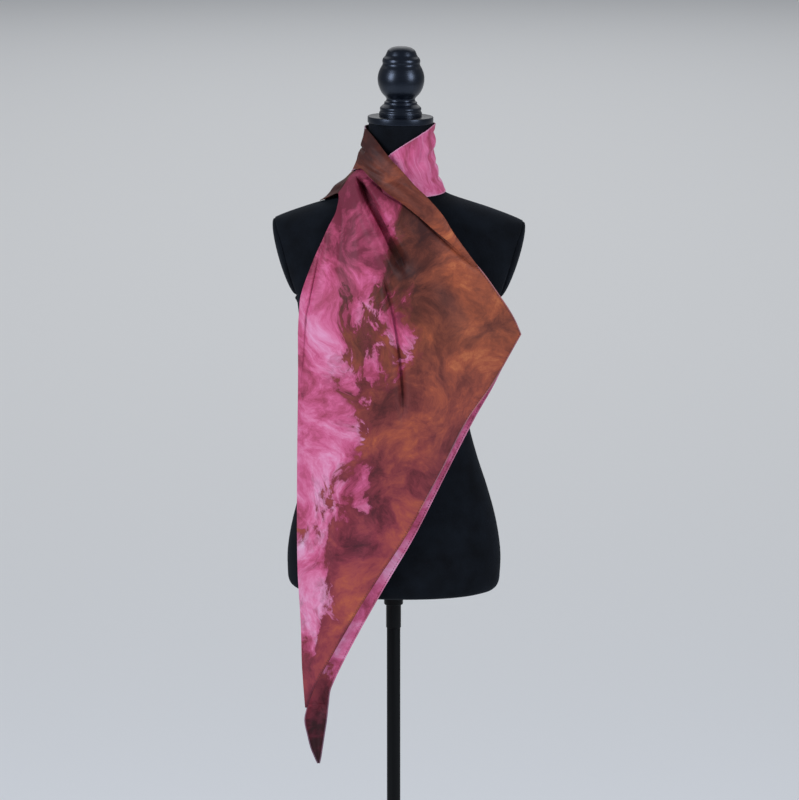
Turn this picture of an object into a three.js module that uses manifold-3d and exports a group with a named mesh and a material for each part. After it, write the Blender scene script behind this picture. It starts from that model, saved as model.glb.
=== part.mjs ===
// A silk square scarf, folded on its diagonal and wound round a limbless dress form on a pole stand.
// Millimetres, +Z up. The front faces -Y, and the origin lies on the floor under the pole.
// Depths are measured forwards from the pole, so a depth d is the place y = -d.

import * as THREE from 'three';
import { mergeVertices } from 'three/addons/utils/BufferGeometryUtils.js';
import Module from 'manifold-3d';

// Driving dimensions

const SEAM_GAP = 0.3; // between pieces that meet
const CLOTH_WALL = 1.6; // one rolled thickness of the silk
const LEAN = THREE.MathUtils.degToRad(0.84); // slack in the collar lets the form lean to the right

// Stand
const BASE = { radius: 150, thickness: 8, rim: 2 };
const HUB = { radius: 20, height: 34, rim: 3 };
const LOWER_POLE = { radius: 10.7, top: 712, rim: 0.5 };
const UPPER_POLE = { radius: 11.8, top: 1050, rim: 0.8 };
const COLLAR = { radius: 15, bore: 12.4, bottom: 750, top: 777.4, rim: 1.5 };
const SET_SCREW = { radius: 2.4, length: 3, height: 770, rim: 0.5 };
const SIDES = { base: 32, hub: 24, pole: 20, screw: 12, arm: 36, cap: 32, finial: 20 };

// Dress form
const FORM_FOOT = 778; // height of the flat underside
const FORM_SIDES = 32;
const FORM_POWER = 2.1; // power of the superellipse of each section
const POLE_SOCKET = { mouth: 12.5, end: 17.7, depth: 330, overrun: 10, sides: 20 }; // widens up, for the lean
const CAP = { radius: 51, thickness: 10.5, rim: 1.2 };
const ARM_PLATE = {
  height: 1305,
  face: 174.7, // from the middle to the flat that the form is cut to, at the plate's height
  gap: 0.36, // along X, so that the sloping plate is a seam gap from the form
  slope: 0.3,
  halfHeight: 62,
  halfDepth: 43,
  rim: 1.5,
  dome: 10,
  steps: 6,
};
const ARM_CUT_FOOT = 1242; // the form is cut off flat at the arms above this height
const SHOULDER_SEARCH = { low: 1271, high: 1445, steps: 20 };

// Level sections of the form, from the underside up to the neck
const FORM_SECTIONS = [
  { height: 778, halfWidth: 150, front: 88, back: 92 },
  { height: 781, halfWidth: 159, front: 96, back: 100 },
  { height: 788, halfWidth: 165, front: 101, back: 106 },
  { height: 800, halfWidth: 167.5, front: 104, back: 110 },
  { height: 840, halfWidth: 168, front: 105, back: 114 },
  { height: 890, halfWidth: 160, front: 102, back: 111 },
  { height: 940, halfWidth: 146, front: 97, back: 101 },
  { height: 990, halfWidth: 129, front: 90, back: 88 },
  { height: 1040, halfWidth: 115, front: 84, back: 76 },
  { height: 1070, halfWidth: 111, front: 82, back: 71 },
  { height: 1110, halfWidth: 119, front: 86, back: 73 },
  { height: 1150, halfWidth: 137, front: 95, back: 82 },
  { height: 1190, halfWidth: 151, front: 105, back: 92 },
  { height: 1233, halfWidth: 157, front: 110, back: 100 },
  { height: 1241, halfWidth: 161, front: 110, back: 101.5 },
  { height: 1243, halfWidth: 162, front: 109.8, back: 102 },
  { height: 1250, halfWidth: 166, front: 109, back: 103 },
  { height: 1271, halfWidth: 176, front: 106, back: 106 },
  { height: 1309, halfWidth: 194, front: 95, back: 106 },
  { height: 1347, halfWidth: 203, front: 79, back: 95 },
  { height: 1358, halfWidth: 200, front: 75, back: 90 },
  { height: 1366, halfWidth: 192, front: 72, back: 85 },
  { height: 1384, halfWidth: 145, front: 67, back: 73 },
  { height: 1403, halfWidth: 84, front: 61, back: 63 },
  { height: 1412, halfWidth: 67, front: 58, back: 59 },
  { height: 1425, halfWidth: 56, front: 53, back: 54 },
  { height: 1445, halfWidth: 50, front: 49.5, back: 50 },
  { height: 1515.7, halfWidth: 49, front: 49, back: 49 },
];

// Turned profile of the finial, above its seat on the cap
const FINIAL_PROFILE = [
  { above: 0, radius: 33 },
  { above: 5.5, radius: 33.2 },
  { above: 7.5, radius: 31.8 },
  { above: 12.5, radius: 32 },
  { above: 15, radius: 30 },
  { above: 19, radius: 25.6 },
  { above: 21.5, radius: 25.4 },
  { above: 24, radius: 22.6 },
  { above: 28, radius: 22.8 },
  { above: 35, radius: 29 },
  { above: 43, radius: 33.4 },
  { above: 53, radius: 36 },
  { above: 64, radius: 35.6 },
  { above: 73, radius: 32.6 },
  { above: 80, radius: 29 },
  { above: 85, radius: 29.4 },
  { above: 89, radius: 28.4 },
  { above: 93, radius: 25 },
  { above: 98, radius: 22.8 },
  { above: 102, radius: 20.6 },
  { above: 105, radius: 16.5 },
  { above: 107, radius: 10.5 },
  { above: 108, radius: 0 },
];

// The scarf round the neck. Angles run from the front towards the right, round the neck.
const WRAP_SECTIONS = [
  { angle: -38, bottom: 1412, top: 1452, foot: 66, belly: 61, head: 58 },
  { angle: -15, bottom: 1409, top: 1473, foot: 72, belly: 59, head: 55.5 },
  { angle: 16, bottom: 1409, top: 1493, foot: 73, belly: 57, head: 54 },
  { angle: 45, bottom: 1410, top: 1506, foot: 73, belly: 56.5, head: 53.5 },
  { angle: 69, bottom: 1411, top: 1514, foot: 72, belly: 56, head: 53.5 },
  { angle: 90, bottom: 1412, top: 1515, foot: 71, belly: 56, head: 54 },
  { angle: 120, bottom: 1418, top: 1514, foot: 70, belly: 57, head: 55 },
  { angle: 180, bottom: 1428, top: 1510, foot: 68, belly: 59, head: 56.5 },
  { angle: 240, bottom: 1434, top: 1509, foot: 74, belly: 61, head: 56 },
  { angle: 270, bottom: 1440, top: 1509, foot: 74, belly: 62, head: 55 },
  { angle: 289, bottom: 1446, top: 1508, foot: 73, belly: 63, head: 56 },
];
const WRAP_STRETCHES = [
  { name: 'neck_wrap_right', from: -38, to: 118, columns: 22, rows: 12 },
  { name: 'neck_wrap_back', from: 118, to: 238, columns: 12, rows: 8 },
  { name: 'neck_wrap_left', from: 238, to: 288, columns: 8, rows: 8 },
];
const WRAP_GAP_ANGLE = 0.4; // keeps neighbouring stretches a seam gap apart
const CRUSH = { depth: 1.6, waves: 3.2, angle: 80, spread: 55 }; // soft rings where the scarf is squeezed

// The collar fold, from the left of the neck down the open front
const COLLAR_START = { angle: 0.8, bow: 2 }; // the angle is from the end of the neck wrap
const COLLAR_ROWS = [
  { upX: -39, upZ: 1495, upDepth: 42, lowX: -65, lowZ: 1448, lowDepth: 36, bow: 5 },
  { upX: -17, upZ: 1470, upDepth: 64, lowX: -58, lowZ: 1449, lowDepth: 47, bow: 7 },
  { upX: 0, upZ: 1453, upDepth: 73, lowX: -43, lowZ: 1436, lowDepth: 62, bow: 7 },
  { upX: 24, upZ: 1428, upDepth: 83, lowX: -19, lowZ: 1417, lowDepth: 77, bow: 7 },
  { upX: 42, upZ: 1412, upDepth: 89, lowX: 6, lowZ: 1401, lowDepth: 87, bow: 7 },
  { upX: 67, upZ: 1385, upDepth: 98, lowX: 32, lowZ: 1382, lowDepth: 96, bow: 6 },
  { upX: 83, upZ: 1360, upDepth: 103.5, lowX: 55, lowZ: 1363, lowDepth: 101.7, bow: 4 },
  { upX: 101, upZ: 1336, upDepth: 107, lowX: 81, lowZ: 1343, lowDepth: 106.4, bow: 3 },
  { upX: 122, upZ: 1308, upDepth: 106.5, lowX: 119, lowZ: 1309, lowDepth: 106.5, bow: 0 },
];
const COLLAR_GRID = { columns: 30, rows: 8 };

// Level sections of the front panel: its left fold, its right edge, and its depth across
const PANEL_SECTIONS = [
  { height: 1450, left: -60, right: -48, leftDepth: 24, midDepth: 36, rightDepth: 45 },
  { height: 1436, left: -76.2, right: -40, leftDepth: 25.5, midDepth: 49, rightDepth: 59.6 },
  { height: 1417, left: -88.8, right: -16, leftDepth: 30.6, midDepth: 70, rightDepth: 74.3 },
  { height: 1410, left: -94.2, right: -4, leftDepth: 32.8, midDepth: 77, rightDepth: 79 },
  { height: 1401, left: -94.5, right: 9, leftDepth: 43, midDepth: 84, rightDepth: 84.3 },
  { height: 1382, left: -99, right: 35, leftDepth: 63, midDepth: 94, rightDepth: 93.3 },
  { height: 1363, left: -109, right: 58, leftDepth: 72, midDepth: 101, rightDepth: 98.3 },
  { height: 1343, left: -118, right: 84, leftDepth: 77, midDepth: 108, rightDepth: 102.3 },
  { height: 1309, left: -133, right: 121, leftDepth: 84, midDepth: 117, rightDepth: 102 },
  { height: 1257, left: -151, right: 159, leftDepth: 90, midDepth: 127, rightDepth: 87 },
  { height: 1225, left: -154, right: 179, leftDepth: 92, midDepth: 130.5, rightDepth: 74 },
  { height: 1198, left: -155, right: 191, leftDepth: 94, midDepth: 132, rightDepth: 66, corner: true },
  { height: 1125, left: -154, right: 149, leftDepth: 97, midDepth: 133, rightDepth: 87 },
  { height: 1069, left: -154, right: 109.5, leftDepth: 99, midDepth: 133, rightDepth: 104 },
  { height: 991, left: -154, right: 70.5, leftDepth: 101, midDepth: 132.5, rightDepth: 117 },
  { height: 886, left: -153, right: 15, leftDepth: 105, midDepth: 132, rightDepth: 127 },
  { height: 820, left: -151, right: -26, leftDepth: 110, midDepth: 131.5, rightDepth: 130 },
  { height: 766, left: -147, right: -58, leftDepth: 115, midDepth: 131, rightDepth: 131 },
  { height: 692, left: -142, right: -98, leftDepth: 121, midDepth: 130, rightDepth: 130.5 },
  { height: 652, left: -139, right: -119, leftDepth: 124.5, midDepth: 129, rightDepth: 130 },
  { height: 613, left: -135.3, right: -132.8, leftDepth: 128, midDepth: 128.3, rightDepth: 128.5 },
];
const PANEL_GRID = { columns: 26, rows: 52 };
const PANEL_CROWDING = 1.12; // brings the grid's columns closer together towards the left fold
const PANEL_CALM = { from: 10, to: 80 }; // folds fade where the panel is narrower than this

// Folds of the front panel. A trough runs from (x0, z0) to (x1, z1), bowed sideways, and a ridge has
// a negative depth. Half its breadth is the width at its start and the spread at its end.
const PANEL_FOLDS = [
  { name: 'neck trough', x0: -62, z0: 1425, x1: 10, z1: 1304, bow: 1.5, width: 7, spread: 12, depth: 15 },
  { name: 'neck ridge', x0: -66, z0: 1413, x1: -6, z1: 1294, bow: 0, width: 6, spread: 9, depth: -6 },
  { name: 'collar trough', x0: -52, z0: 1436, x1: 6, z1: 1394, bow: 0, width: 6, spread: 8, depth: 4 },
  { name: 'bust hollow', x0: 8, z0: 1325, x1: 14, z1: 1190, bow: 0, width: 20, spread: 28, depth: 5 },
  { name: 'long crease', x0: -21, z0: 1280, x1: 12, z1: 1070, bow: 6, width: 8, spread: 9, depth: 4.5 },
  { name: 'side hollow', x0: -90, z0: 1405, x1: -86, z1: 1255, bow: 0, width: 10, spread: 16, depth: 4 },
  { name: 'hip ridge', x0: 58, z0: 1150, x1: 6, z1: 860, bow: 8, width: 24, spread: 20, depth: -4 },
  { name: 'lower hollow', x0: -50, z0: 1040, x1: -96, z1: 740, bow: 6, width: 26, spread: 20, depth: 4 },
];
const FOLD_FADE = { before: 0.12, start: 0.24, after: 0.15, end: 0.4 }; // shares of a fold's length
const ROLL = { depth: 14, width: 13, top: 1300, bottom: 720, fade: 90 }; // where the cloth turns back

// The rear panel hangs behind the front one, and its hem shows past it on the right
const REAR_SECTIONS = [
  { height: 1350, right: 66 },
  { height: 1309, right: 108 },
  { height: 1257, right: 148 },
  { height: 1198, right: 186, corner: true },
  { height: 1125, right: 152 },
  { height: 1069, right: 120 },
  { height: 991, right: 80.5 },
  { height: 886, right: 29.5 },
  { height: 803, right: -16.5 },
  { height: 720, right: -60.5 },
  { height: 644, right: -95.5 },
  { height: 616, right: -99.7 },
];
const REAR_GRID = { columns: 14, rows: 33 };
const REAR_INSET = { top: 10, bottom: 4 }; // from the left fold to the rear panel's edge
const REAR_TAPER = { top: 1000, bottom: 616 }; // between these the inset changes
const LAYER_GAP = { fold: 4, open: 6.2, within: 0.25 }; // at the fold, and past this share across
const FREE_SLOPE = 0.12; // how fast the rear layer falls back past the front hem
const CONE = { depth: 9, top: 690, bottom: 616 }; // both edges of the lowest stretch fold forwards

// The tip, a folded cone that is open at the front
const TIP_SECTIONS = [
  { height: 615.6, left: -132.8, right: -99.7, edge: 122.3, middle: 113.3 },
  { height: 591, left: -135.6, right: -102, edge: 124, middle: 114 },
  { height: 566, left: -130.5, right: -105.4, edge: 124, middle: 115 },
  { height: 547, left: -125.6, right: -108, edge: 124, middle: 117.5 },
  { height: 530, left: -118.6, right: -110.4, edge: 123.5, middle: 120.5 },
  { height: 522, left: -114.9, right: -112.2, edge: 123, middle: 122.6 },
];
const TIP_GRID = { columns: 12, rows: 15 };

// The fall over the left shoulder, from behind the neck to the gather at the front. It spreads from
// the foot of the neck wrap out to its rim, which lies on the shoulder but is lifted at the gather.
const FALL_SECTIONS = [
  { angle: 212, reach: 84, rimLift: 9 },
  { angle: 230, reach: 104, rimLift: 2.4 },
  { angle: 250, reach: 120, rimLift: 2.4 },
  { angle: 270, reach: 122, rimLift: 2.4 },
  { angle: 288, reach: 99, rimLift: 14 },
];
const FALL_BULGE = [
  { share: 0, rise: 1 },
  { share: 0.25, rise: 0.74 },
  { share: 0.55, rise: 0.52 },
  { share: 0.7, rise: 0.27 },
  { share: 0.85, rise: 0.1 },
  { share: 1, rise: 0 },
];
const FALL_SEAM = { out: 1.1, down: 1.3 }; // from the middle of the wrap's foot to that of the fall
const FALL_GRID = { columns: 14, rows: 8 };

// Materials

function finish(color, roughness, metalness) {
  return new THREE.MeshStandardMaterial({ color, roughness, metalness });
}

const FINISHES = {
  silkBrown: finish('#7d4632', 0.42, 0),
  silkPink: finish('#c8588f', 0.42, 0),
  jersey: finish('#14181c', 0.92, 0),
  lacquer: finish('#15171b', 0.32, 0),
  enamel: finish('#131417', 0.48, 0.2),
};

// Helpers

const mix = (a, b, t) => a + (b - a) * t;
const ramp = (t) => THREE.MathUtils.smoothstep(t, 0, 1);
const onForm = (x, depth, z) => new THREE.Vector3(x, -depth, z);

// Index of the table row that begins the stretch holding a value. Keys may rise or fall.
function stretchOf(table, key, value) {
  const rising = table.at(-1)[key] > table[0][key];
  let index = 0;
  while (index < table.length - 2 && (table[index + 1][key] < value) === rising) index += 1;
  return index;
}

// Straight interpolation between the rows of a table
function straight(table, key, value, column) {
  const index = stretchOf(table, key, value);
  const [low, high] = [table[index], table[index + 1]];
  const t = THREE.MathUtils.clamp((value - low[key]) / (high[key] - low[key]), 0, 1);
  return mix(low[column], high[column], t);
}

// Smooth interpolation: a cubic whose slope at each row is that of its neighbours' chord. A row
// marked as a corner keeps the slope of its own side instead, so the edge turns sharply there.
function smooth(table, key, value, column) {
  const index = stretchOf(table, key, value);
  const [low, high] = [table[index], table[index + 1]];
  const chord = (a, b) => (b[column] - a[column]) / (b[key] - a[key]);
  const own = chord(low, high);
  const slopeLow = low.corner || index === 0 ? own : chord(table[index - 1], high);
  const slopeHigh = high.corner || index === table.length - 2 ? own : chord(low, table[index + 2]);
  const span = high[key] - low[key];
  const t = THREE.MathUtils.clamp((value - low[key]) / span, 0, 1);
  const bend = t * (1 - t) * ((slopeLow - own) * (1 - t) - (slopeHigh - own) * t) * span;
  return mix(low[column], high[column], t) + bend;
}

// Height at a share of the way down a table of sections, so that close sections get close rows
function heightAlong(table, share) {
  const place = share * (table.length - 1);
  const index = Math.min(Math.floor(place), table.length - 2);
  return mix(table[index].height, table[index + 1].height, place - index);
}

// Parabola through three values, at 0, 0.5 and 1
function threeWay(start, middle, end, t) {
  return start * (1 - t) * (1 - 2 * t) + middle * 4 * t * (1 - t) + end * t * (2 * t - 1);
}

function geometryOf(points, faces) {
  const geometry = new THREE.BufferGeometry();
  const numbers = points.flatMap((p) => [p.x, p.y, p.z]);
  geometry.setAttribute('position', new THREE.Float32BufferAttribute(numbers, 3));
  geometry.setIndex(faces.flat());
  geometry.computeVertexNormals();
  return geometry;
}

// Cloth: the middle surface of a sheet, a grid of points, thickened by half a wall to each side
// along its normal and closed round its four edges
function sheetSolid(pointAt, { columns, rows }) {
  const grid = [];
  for (let j = 0; j <= rows; j += 1) {
    grid.push(Array.from({ length: columns + 1 }, (_, i) => pointAt(i / columns, j / rows)));
  }
  const at = (i, j) => grid[THREE.MathUtils.clamp(j, 0, rows)][THREE.MathUtils.clamp(i, 0, columns)];
  const normalAt = (i, j) => {
    const across = at(i + 1, j).clone().sub(at(i - 1, j));
    const down = at(i, j + 1).clone().sub(at(i, j - 1));
    return down.cross(across).normalize();
  };
  const stride = columns + 1;
  const outer = [];
  const inner = [];
  for (let j = 0; j <= rows; j += 1) {
    for (let i = 0; i <= columns; i += 1) {
      const normal = normalAt(i, j).multiplyScalar(CLOTH_WALL / 2);
      outer.push(at(i, j).clone().add(normal));
      inner.push(at(i, j).clone().sub(normal));
    }
  }
  const faces = [];
  const quad = (a, b, c, d) => faces.push([a, b, c], [a, c, d]);
  const behind = outer.length;
  for (let j = 0; j < rows; j += 1) {
    for (let i = 0; i < columns; i += 1) {
      const corner = j * stride + i;
      quad(corner, corner + stride, corner + stride + 1, corner + 1);
      quad(behind + corner, behind + corner + 1, behind + corner + stride + 1, behind + corner + stride);
    }
  }
  const edge = (a, b) => quad(a, b, behind + b, behind + a);
  for (let i = 0; i < columns; i += 1) {
    edge(i, i + 1);
    edge(rows * stride + i + 1, rows * stride + i);
  }
  for (let j = 0; j < rows; j += 1) {
    edge((j + 1) * stride, j * stride);
    edge(j * stride + columns, (j + 1) * stride + columns);
  }
  return geometryOf([...outer, ...inner], faces);
}

// Turned piece: a profile of radius and height, spun round the vertical
function turned(profile, sides) {
  const points = profile.map(([radius, height]) => new THREE.Vector2(radius, height));
  const geometry = new THREE.LatheGeometry(points, sides);
  geometry.rotateX(Math.PI / 2);
  return geometry;
}

// Profile of a disc or rod with chamfered rims, from the axis round to the axis
function discProfile(radius, bottom, top, rim) {
  return [
    [0, bottom],
    [radius - rim, bottom],
    [radius, bottom + rim],
    [radius, top - rim],
    [radius - rim, top],
    [0, top],
  ];
}

// Profile of a ring with chamfered rims, closed on itself
function ringProfile(radius, bore, bottom, top, rim) {
  return [
    [bore, bottom],
    [radius - rim, bottom],
    [radius, bottom + rim],
    [radius, top - rim],
    [radius - rim, top],
    [bore, top],
    [bore, bottom],
  ];
}

// Dress form

const armFace = (z) => ARM_PLATE.face + (z - ARM_PLATE.height) * ARM_PLATE.slope;

// A level section is a superellipse, deeper at the front or the back as the table says, and cut
// off flat where an arm plate covers it
function formRing(section) {
  const ring = [];
  for (let i = 0; i < FORM_SIDES; i += 1) {
    const angle = (2 * Math.PI * i) / FORM_SIDES;
    const [c, s] = [Math.cos(angle), Math.sin(angle)];
    const wide = section.halfWidth * Math.sign(c) * Math.abs(c) ** (2 / FORM_POWER);
    const deep = (s < 0 ? section.front : section.back) * Math.sign(s) * Math.abs(s) ** (2 / FORM_POWER);
    const limit = section.height > ARM_CUT_FOOT ? armFace(section.height) : section.halfWidth;
    ring.push(new THREE.Vector3(THREE.MathUtils.clamp(wide, -limit, limit), deep, section.height));
  }
  return ring;
}

function formShell() {
  const points = FORM_SECTIONS.flatMap(formRing);
  const faces = [];
  const last = FORM_SECTIONS.length - 1;
  for (let j = 0; j < last; j += 1) {
    for (let i = 0; i < FORM_SIDES; i += 1) {
      const next = (i + 1) % FORM_SIDES;
      const [a, b] = [j * FORM_SIDES + i, j * FORM_SIDES + next];
      faces.push([a, b, b + FORM_SIDES], [a, b + FORM_SIDES, a + FORM_SIDES]);
    }
  }
  const foot = points.length;
  points.push(onForm(0, 0, FORM_SECTIONS[0].height), onForm(0, 0, FORM_SECTIONS[last].height));
  for (let i = 0; i < FORM_SIDES; i += 1) {
    const next = (i + 1) % FORM_SIDES;
    faces.push([foot, next, i], [foot + 1, last * FORM_SIDES + i, last * FORM_SIDES + next]);
  }
  return geometryOf(points, faces);
}

// Height of the shoulder over a place, found by halving between the neck's foot and the chest
function shoulderHeight(x, depth) {
  const inside = (z) => {
    const wide = straight(FORM_SECTIONS, 'height', z, 'halfWidth');
    const deep = straight(FORM_SECTIONS, 'height', z, depth > 0 ? 'front' : 'back');
    return Math.abs(x / wide) ** FORM_POWER + Math.abs(depth / deep) ** FORM_POWER < 1;
  };
  let { low, high } = SHOULDER_SEARCH;
  for (let step = 0; step < SHOULDER_SEARCH.steps; step += 1) {
    const middle = (low + high) / 2;
    if (inside(middle)) low = middle;
    else high = middle;
  }
  return low;
}

const wasm = await Module();
wasm.setup();

function asSolid(geometry) {
  const bare = geometry.clone();
  bare.deleteAttribute('normal');
  bare.deleteAttribute('uv');
  const merged = mergeVertices(bare, 1e-4);
  return new wasm.Manifold(new wasm.Mesh({
    numProp: 3,
    vertProperties: merged.attributes.position.array,
    triVerts: new Uint32Array(merged.index.array),
  }));
}

function asGeometry(solid) {
  const mesh = solid.getMesh();
  const geometry = new THREE.BufferGeometry();
  geometry.setAttribute('position', new THREE.BufferAttribute(mesh.vertProperties, 3));
  geometry.setIndex(new THREE.BufferAttribute(mesh.triVerts, 1));
  geometry.computeVertexNormals();
  return geometry;
}

// The form with the socket that the pole slides in
function formTorso() {
  const { mouth, end, depth, overrun, sides } = POLE_SOCKET;
  const slope = (end - mouth) / depth;
  const socket = new THREE.CylinderGeometry(end, mouth - slope * overrun, depth + overrun, sides);
  socket.rotateX(Math.PI / 2);
  socket.translate(0, 0, FORM_FOOT + (depth - overrun) / 2);
  return asGeometry(asSolid(formShell()).subtract(asSolid(socket)));
}

// Arm plate: a disc with a domed outer face, turned and then narrowed
function armPlate() {
  const { halfHeight, halfDepth, rim, dome, steps } = ARM_PLATE;
  const profile = [[0, 0], [halfHeight, 0]];
  for (let step = 0; step < steps; step += 1) {
    const angle = (Math.PI / 2) * (step / steps);
    profile.push([halfHeight * Math.cos(angle), rim + dome * Math.sin(angle)]);
  }
  profile.push([0, rim + dome]);
  return turned(profile, SIDES.arm).scale(1, halfDepth / halfHeight, 1);
}

// Scarf round the neck: at each angle a bowed line from foot to head, with soft squeezed rings
// that are strongest at the right of the neck
function wrapPoint(angle, up) {
  const column = (name) => smooth(WRAP_SECTIONS, 'angle', angle, name);
  const crush = CRUSH.depth * Math.exp(-(((angle - CRUSH.angle) / CRUSH.spread) ** 2));
  const rings = crush * Math.sin(2 * Math.PI * CRUSH.waves * up) * Math.sin(Math.PI * up);
  const radius = threeWay(column('foot'), column('belly'), column('head'), up) + rings;
  const turn = THREE.MathUtils.degToRad(angle);
  return onForm(radius * Math.sin(turn), radius * Math.cos(turn), mix(column('bottom'), column('top'), up));
}

// Collar fold: straight across from its lower to its upper edge, bowed out from the neck. It
// begins where the left stretch of the neck wrap ends.
function collarPoint(along, across) {
  const angle = WRAP_STRETCHES.at(-1).to + COLLAR_START.angle;
  const [low, up] = [wrapPoint(angle, 0), wrapPoint(angle, 1)];
  const start = {
    upX: up.x,
    upZ: up.z,
    upDepth: -up.y,
    lowX: low.x,
    lowZ: low.z,
    lowDepth: -low.y,
    bow: COLLAR_START.bow,
  };
  const table = [start, ...COLLAR_ROWS].map((row, place) => ({ ...row, place }));
  const column = (name) => smooth(table, 'place', along * (table.length - 1), name);
  const point = onForm(
    mix(column('lowX'), column('upX'), across),
    mix(column('lowDepth'), column('upDepth'), across),
    mix(column('lowZ'), column('upZ'), across),
  );
  const outwards = new THREE.Vector3(point.x, point.y, 0).normalize();
  return point.addScaledVector(outwards, column('bow') * 4 * across * (1 - across));
}

// Depth that one fold takes away at a place: a soft trough along a bowed line, fading at both ends
function foldDepth(fold, x, z) {
  const line = new THREE.Vector2(fold.x1 - fold.x0, fold.z1 - fold.z0);
  const from = new THREE.Vector2(x - fold.x0, z - fold.z0);
  const along = from.dot(line) / line.lengthSq();
  const t = THREE.MathUtils.clamp(along, 0, 1);
  const aside = from.cross(line) / line.length() + fold.bow * 4 * t * (1 - t);
  const width = mix(fold.width, fold.spread, t);
  const fadeIn = ramp((along + FOLD_FADE.before) / FOLD_FADE.start);
  const fadeOut = ramp((1 + FOLD_FADE.after - along) / FOLD_FADE.end);
  return fold.depth * fadeIn * fadeOut * Math.exp(-((aside / width) ** 2));
}

// Depth of the front panel at a place: bowed across, less its folds, and turned back at the left
function panelDepth(x, z) {
  const column = (name) => smooth(PANEL_SECTIONS, 'height', z, name);
  const [left, right] = [column('left'), column('right')];
  const across = THREE.MathUtils.clamp((x - left) / (right - left), 0, 1);
  const bowed = threeWay(column('leftDepth'), column('midDepth'), column('rightDepth'), across);
  const folds = PANEL_FOLDS.reduce((sum, fold) => sum + foldDepth(fold, x, z), 0);
  const calm = ramp((right - left - PANEL_CALM.from) / (PANEL_CALM.to - PANEL_CALM.from));
  const rollShare = ramp((ROLL.top - z) / ROLL.fade + 0.5) * ramp((z - ROLL.bottom) / ROLL.fade + 0.5);
  const roll = ROLL.depth * rollShare * Math.max(0, 1 - (x - left) / ROLL.width) ** 2;
  return bowed - folds * calm - roll;
}

function panelPoint(across, down) {
  const z = heightAlong(PANEL_SECTIONS, down);
  const column = (name) => smooth(PANEL_SECTIONS, 'height', z, name);
  const x = mix(column('left'), column('right'), across ** PANEL_CROWDING);
  return onForm(x, panelDepth(x, z), z);
}

// Rear panel: the front panel's own depth, moved back by the gap between the layers. Past the
// front hem it falls away, and near the tip its edges fold forwards.
function rearPoint(across, down) {
  const z = heightAlong(REAR_SECTIONS, down);
  const lowness = ramp((REAR_TAPER.top - z) / (REAR_TAPER.top - REAR_TAPER.bottom));
  const inset = mix(REAR_INSET.top, REAR_INSET.bottom, lowness);
  const left = smooth(PANEL_SECTIONS, 'height', z, 'left') + inset;
  const x = mix(left, smooth(REAR_SECTIONS, 'height', z, 'right'), across);
  const hem = smooth(PANEL_SECTIONS, 'height', z, 'right');
  const gap = mix(LAYER_GAP.fold, LAYER_GAP.open, ramp(across / LAYER_GAP.within));
  const coneShare = ramp((CONE.top - z) / (CONE.top - CONE.bottom));
  const cone = CONE.depth * coneShare * 4 * across * (1 - across);
  return onForm(x, panelDepth(Math.min(x, hem), z) - gap - cone - FREE_SLOPE * Math.max(0, x - hem), z);
}

function tipPoint(across, down) {
  const z = heightAlong(TIP_SECTIONS, down);
  const column = (name) => smooth(TIP_SECTIONS, 'height', z, name);
  const depth = mix(column('edge'), column('middle'), 4 * across * (1 - across));
  return onForm(mix(column('left'), column('right'), across), depth, z);
}

// Shoulder fall: a loose bulge at the foot of the neck wrap that comes to lie on the shoulder
function fallPoint(along, outwards) {
  const angle = mix(FALL_SECTIONS[0].angle, FALL_SECTIONS.at(-1).angle, along);
  const column = (name) => smooth(FALL_SECTIONS, 'angle', angle, name);
  const foot = wrapPoint(angle, 0);
  const radius = mix(Math.hypot(foot.x, foot.y) + FALL_SEAM.out, column('reach'), outwards);
  const turn = THREE.MathUtils.degToRad(angle);
  const [x, depth] = [radius * Math.sin(turn), radius * Math.cos(turn)];
  const shoulder = shoulderHeight(x, depth);
  const innerLift = foot.z - FALL_SEAM.down - shoulderHeight(foot.x, -foot.y);
  const rise = smooth(FALL_BULGE, 'share', outwards, 'rise');
  return onForm(x, depth, shoulder + mix(column('rimLift'), innerLift, rise));
}

// Scene

const stand = new THREE.Group();
const form = new THREE.Group();
const leaning = new THREE.Group();
leaning.position.z = FORM_FOOT;
leaning.rotation.y = LEAN;
form.position.z = -FORM_FOOT;
leaning.add(form);

function add(group, name, geometry, material) {
  const mesh = new THREE.Mesh(geometry, material);
  mesh.name = name;
  group.add(mesh);
  return mesh;
}

function addStand() {
  const plateTop = BASE.thickness;
  const poleFoot = plateTop + SEAM_GAP;
  const hubBore = LOWER_POLE.radius + SEAM_GAP;
  const hubProfile = ringProfile(HUB.radius, hubBore, poleFoot, poleFoot + HUB.height, HUB.rim);
  const lowerProfile = discProfile(LOWER_POLE.radius, poleFoot, LOWER_POLE.top, LOWER_POLE.rim);
  const upperFoot = LOWER_POLE.top + SEAM_GAP;
  const upperProfile = discProfile(UPPER_POLE.radius, upperFoot, UPPER_POLE.top, UPPER_POLE.rim);
  const collarProfile = ringProfile(COLLAR.radius, COLLAR.bore, COLLAR.bottom, COLLAR.top, COLLAR.rim);
  const screwProfile = discProfile(SET_SCREW.radius, 0, SET_SCREW.length, SET_SCREW.rim);
  const plateProfile = discProfile(BASE.radius, 0, plateTop, BASE.rim);
  add(stand, 'base_plate', turned(plateProfile, SIDES.base), FINISHES.enamel);
  add(stand, 'base_hub', turned(hubProfile, SIDES.hub), FINISHES.enamel);
  add(stand, 'pole_lower', turned(lowerProfile, SIDES.pole), FINISHES.enamel);
  add(stand, 'pole_upper', turned(upperProfile, SIDES.pole), FINISHES.enamel);
  add(stand, 'pole_collar', turned(collarProfile, SIDES.hub), FINISHES.enamel);
  const screw = add(stand, 'set_screw', turned(screwProfile, SIDES.screw), FINISHES.enamel);
  screw.position.set(COLLAR.radius + SEAM_GAP, 0, SET_SCREW.height);
  screw.rotation.y = Math.PI / 2;
}

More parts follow.
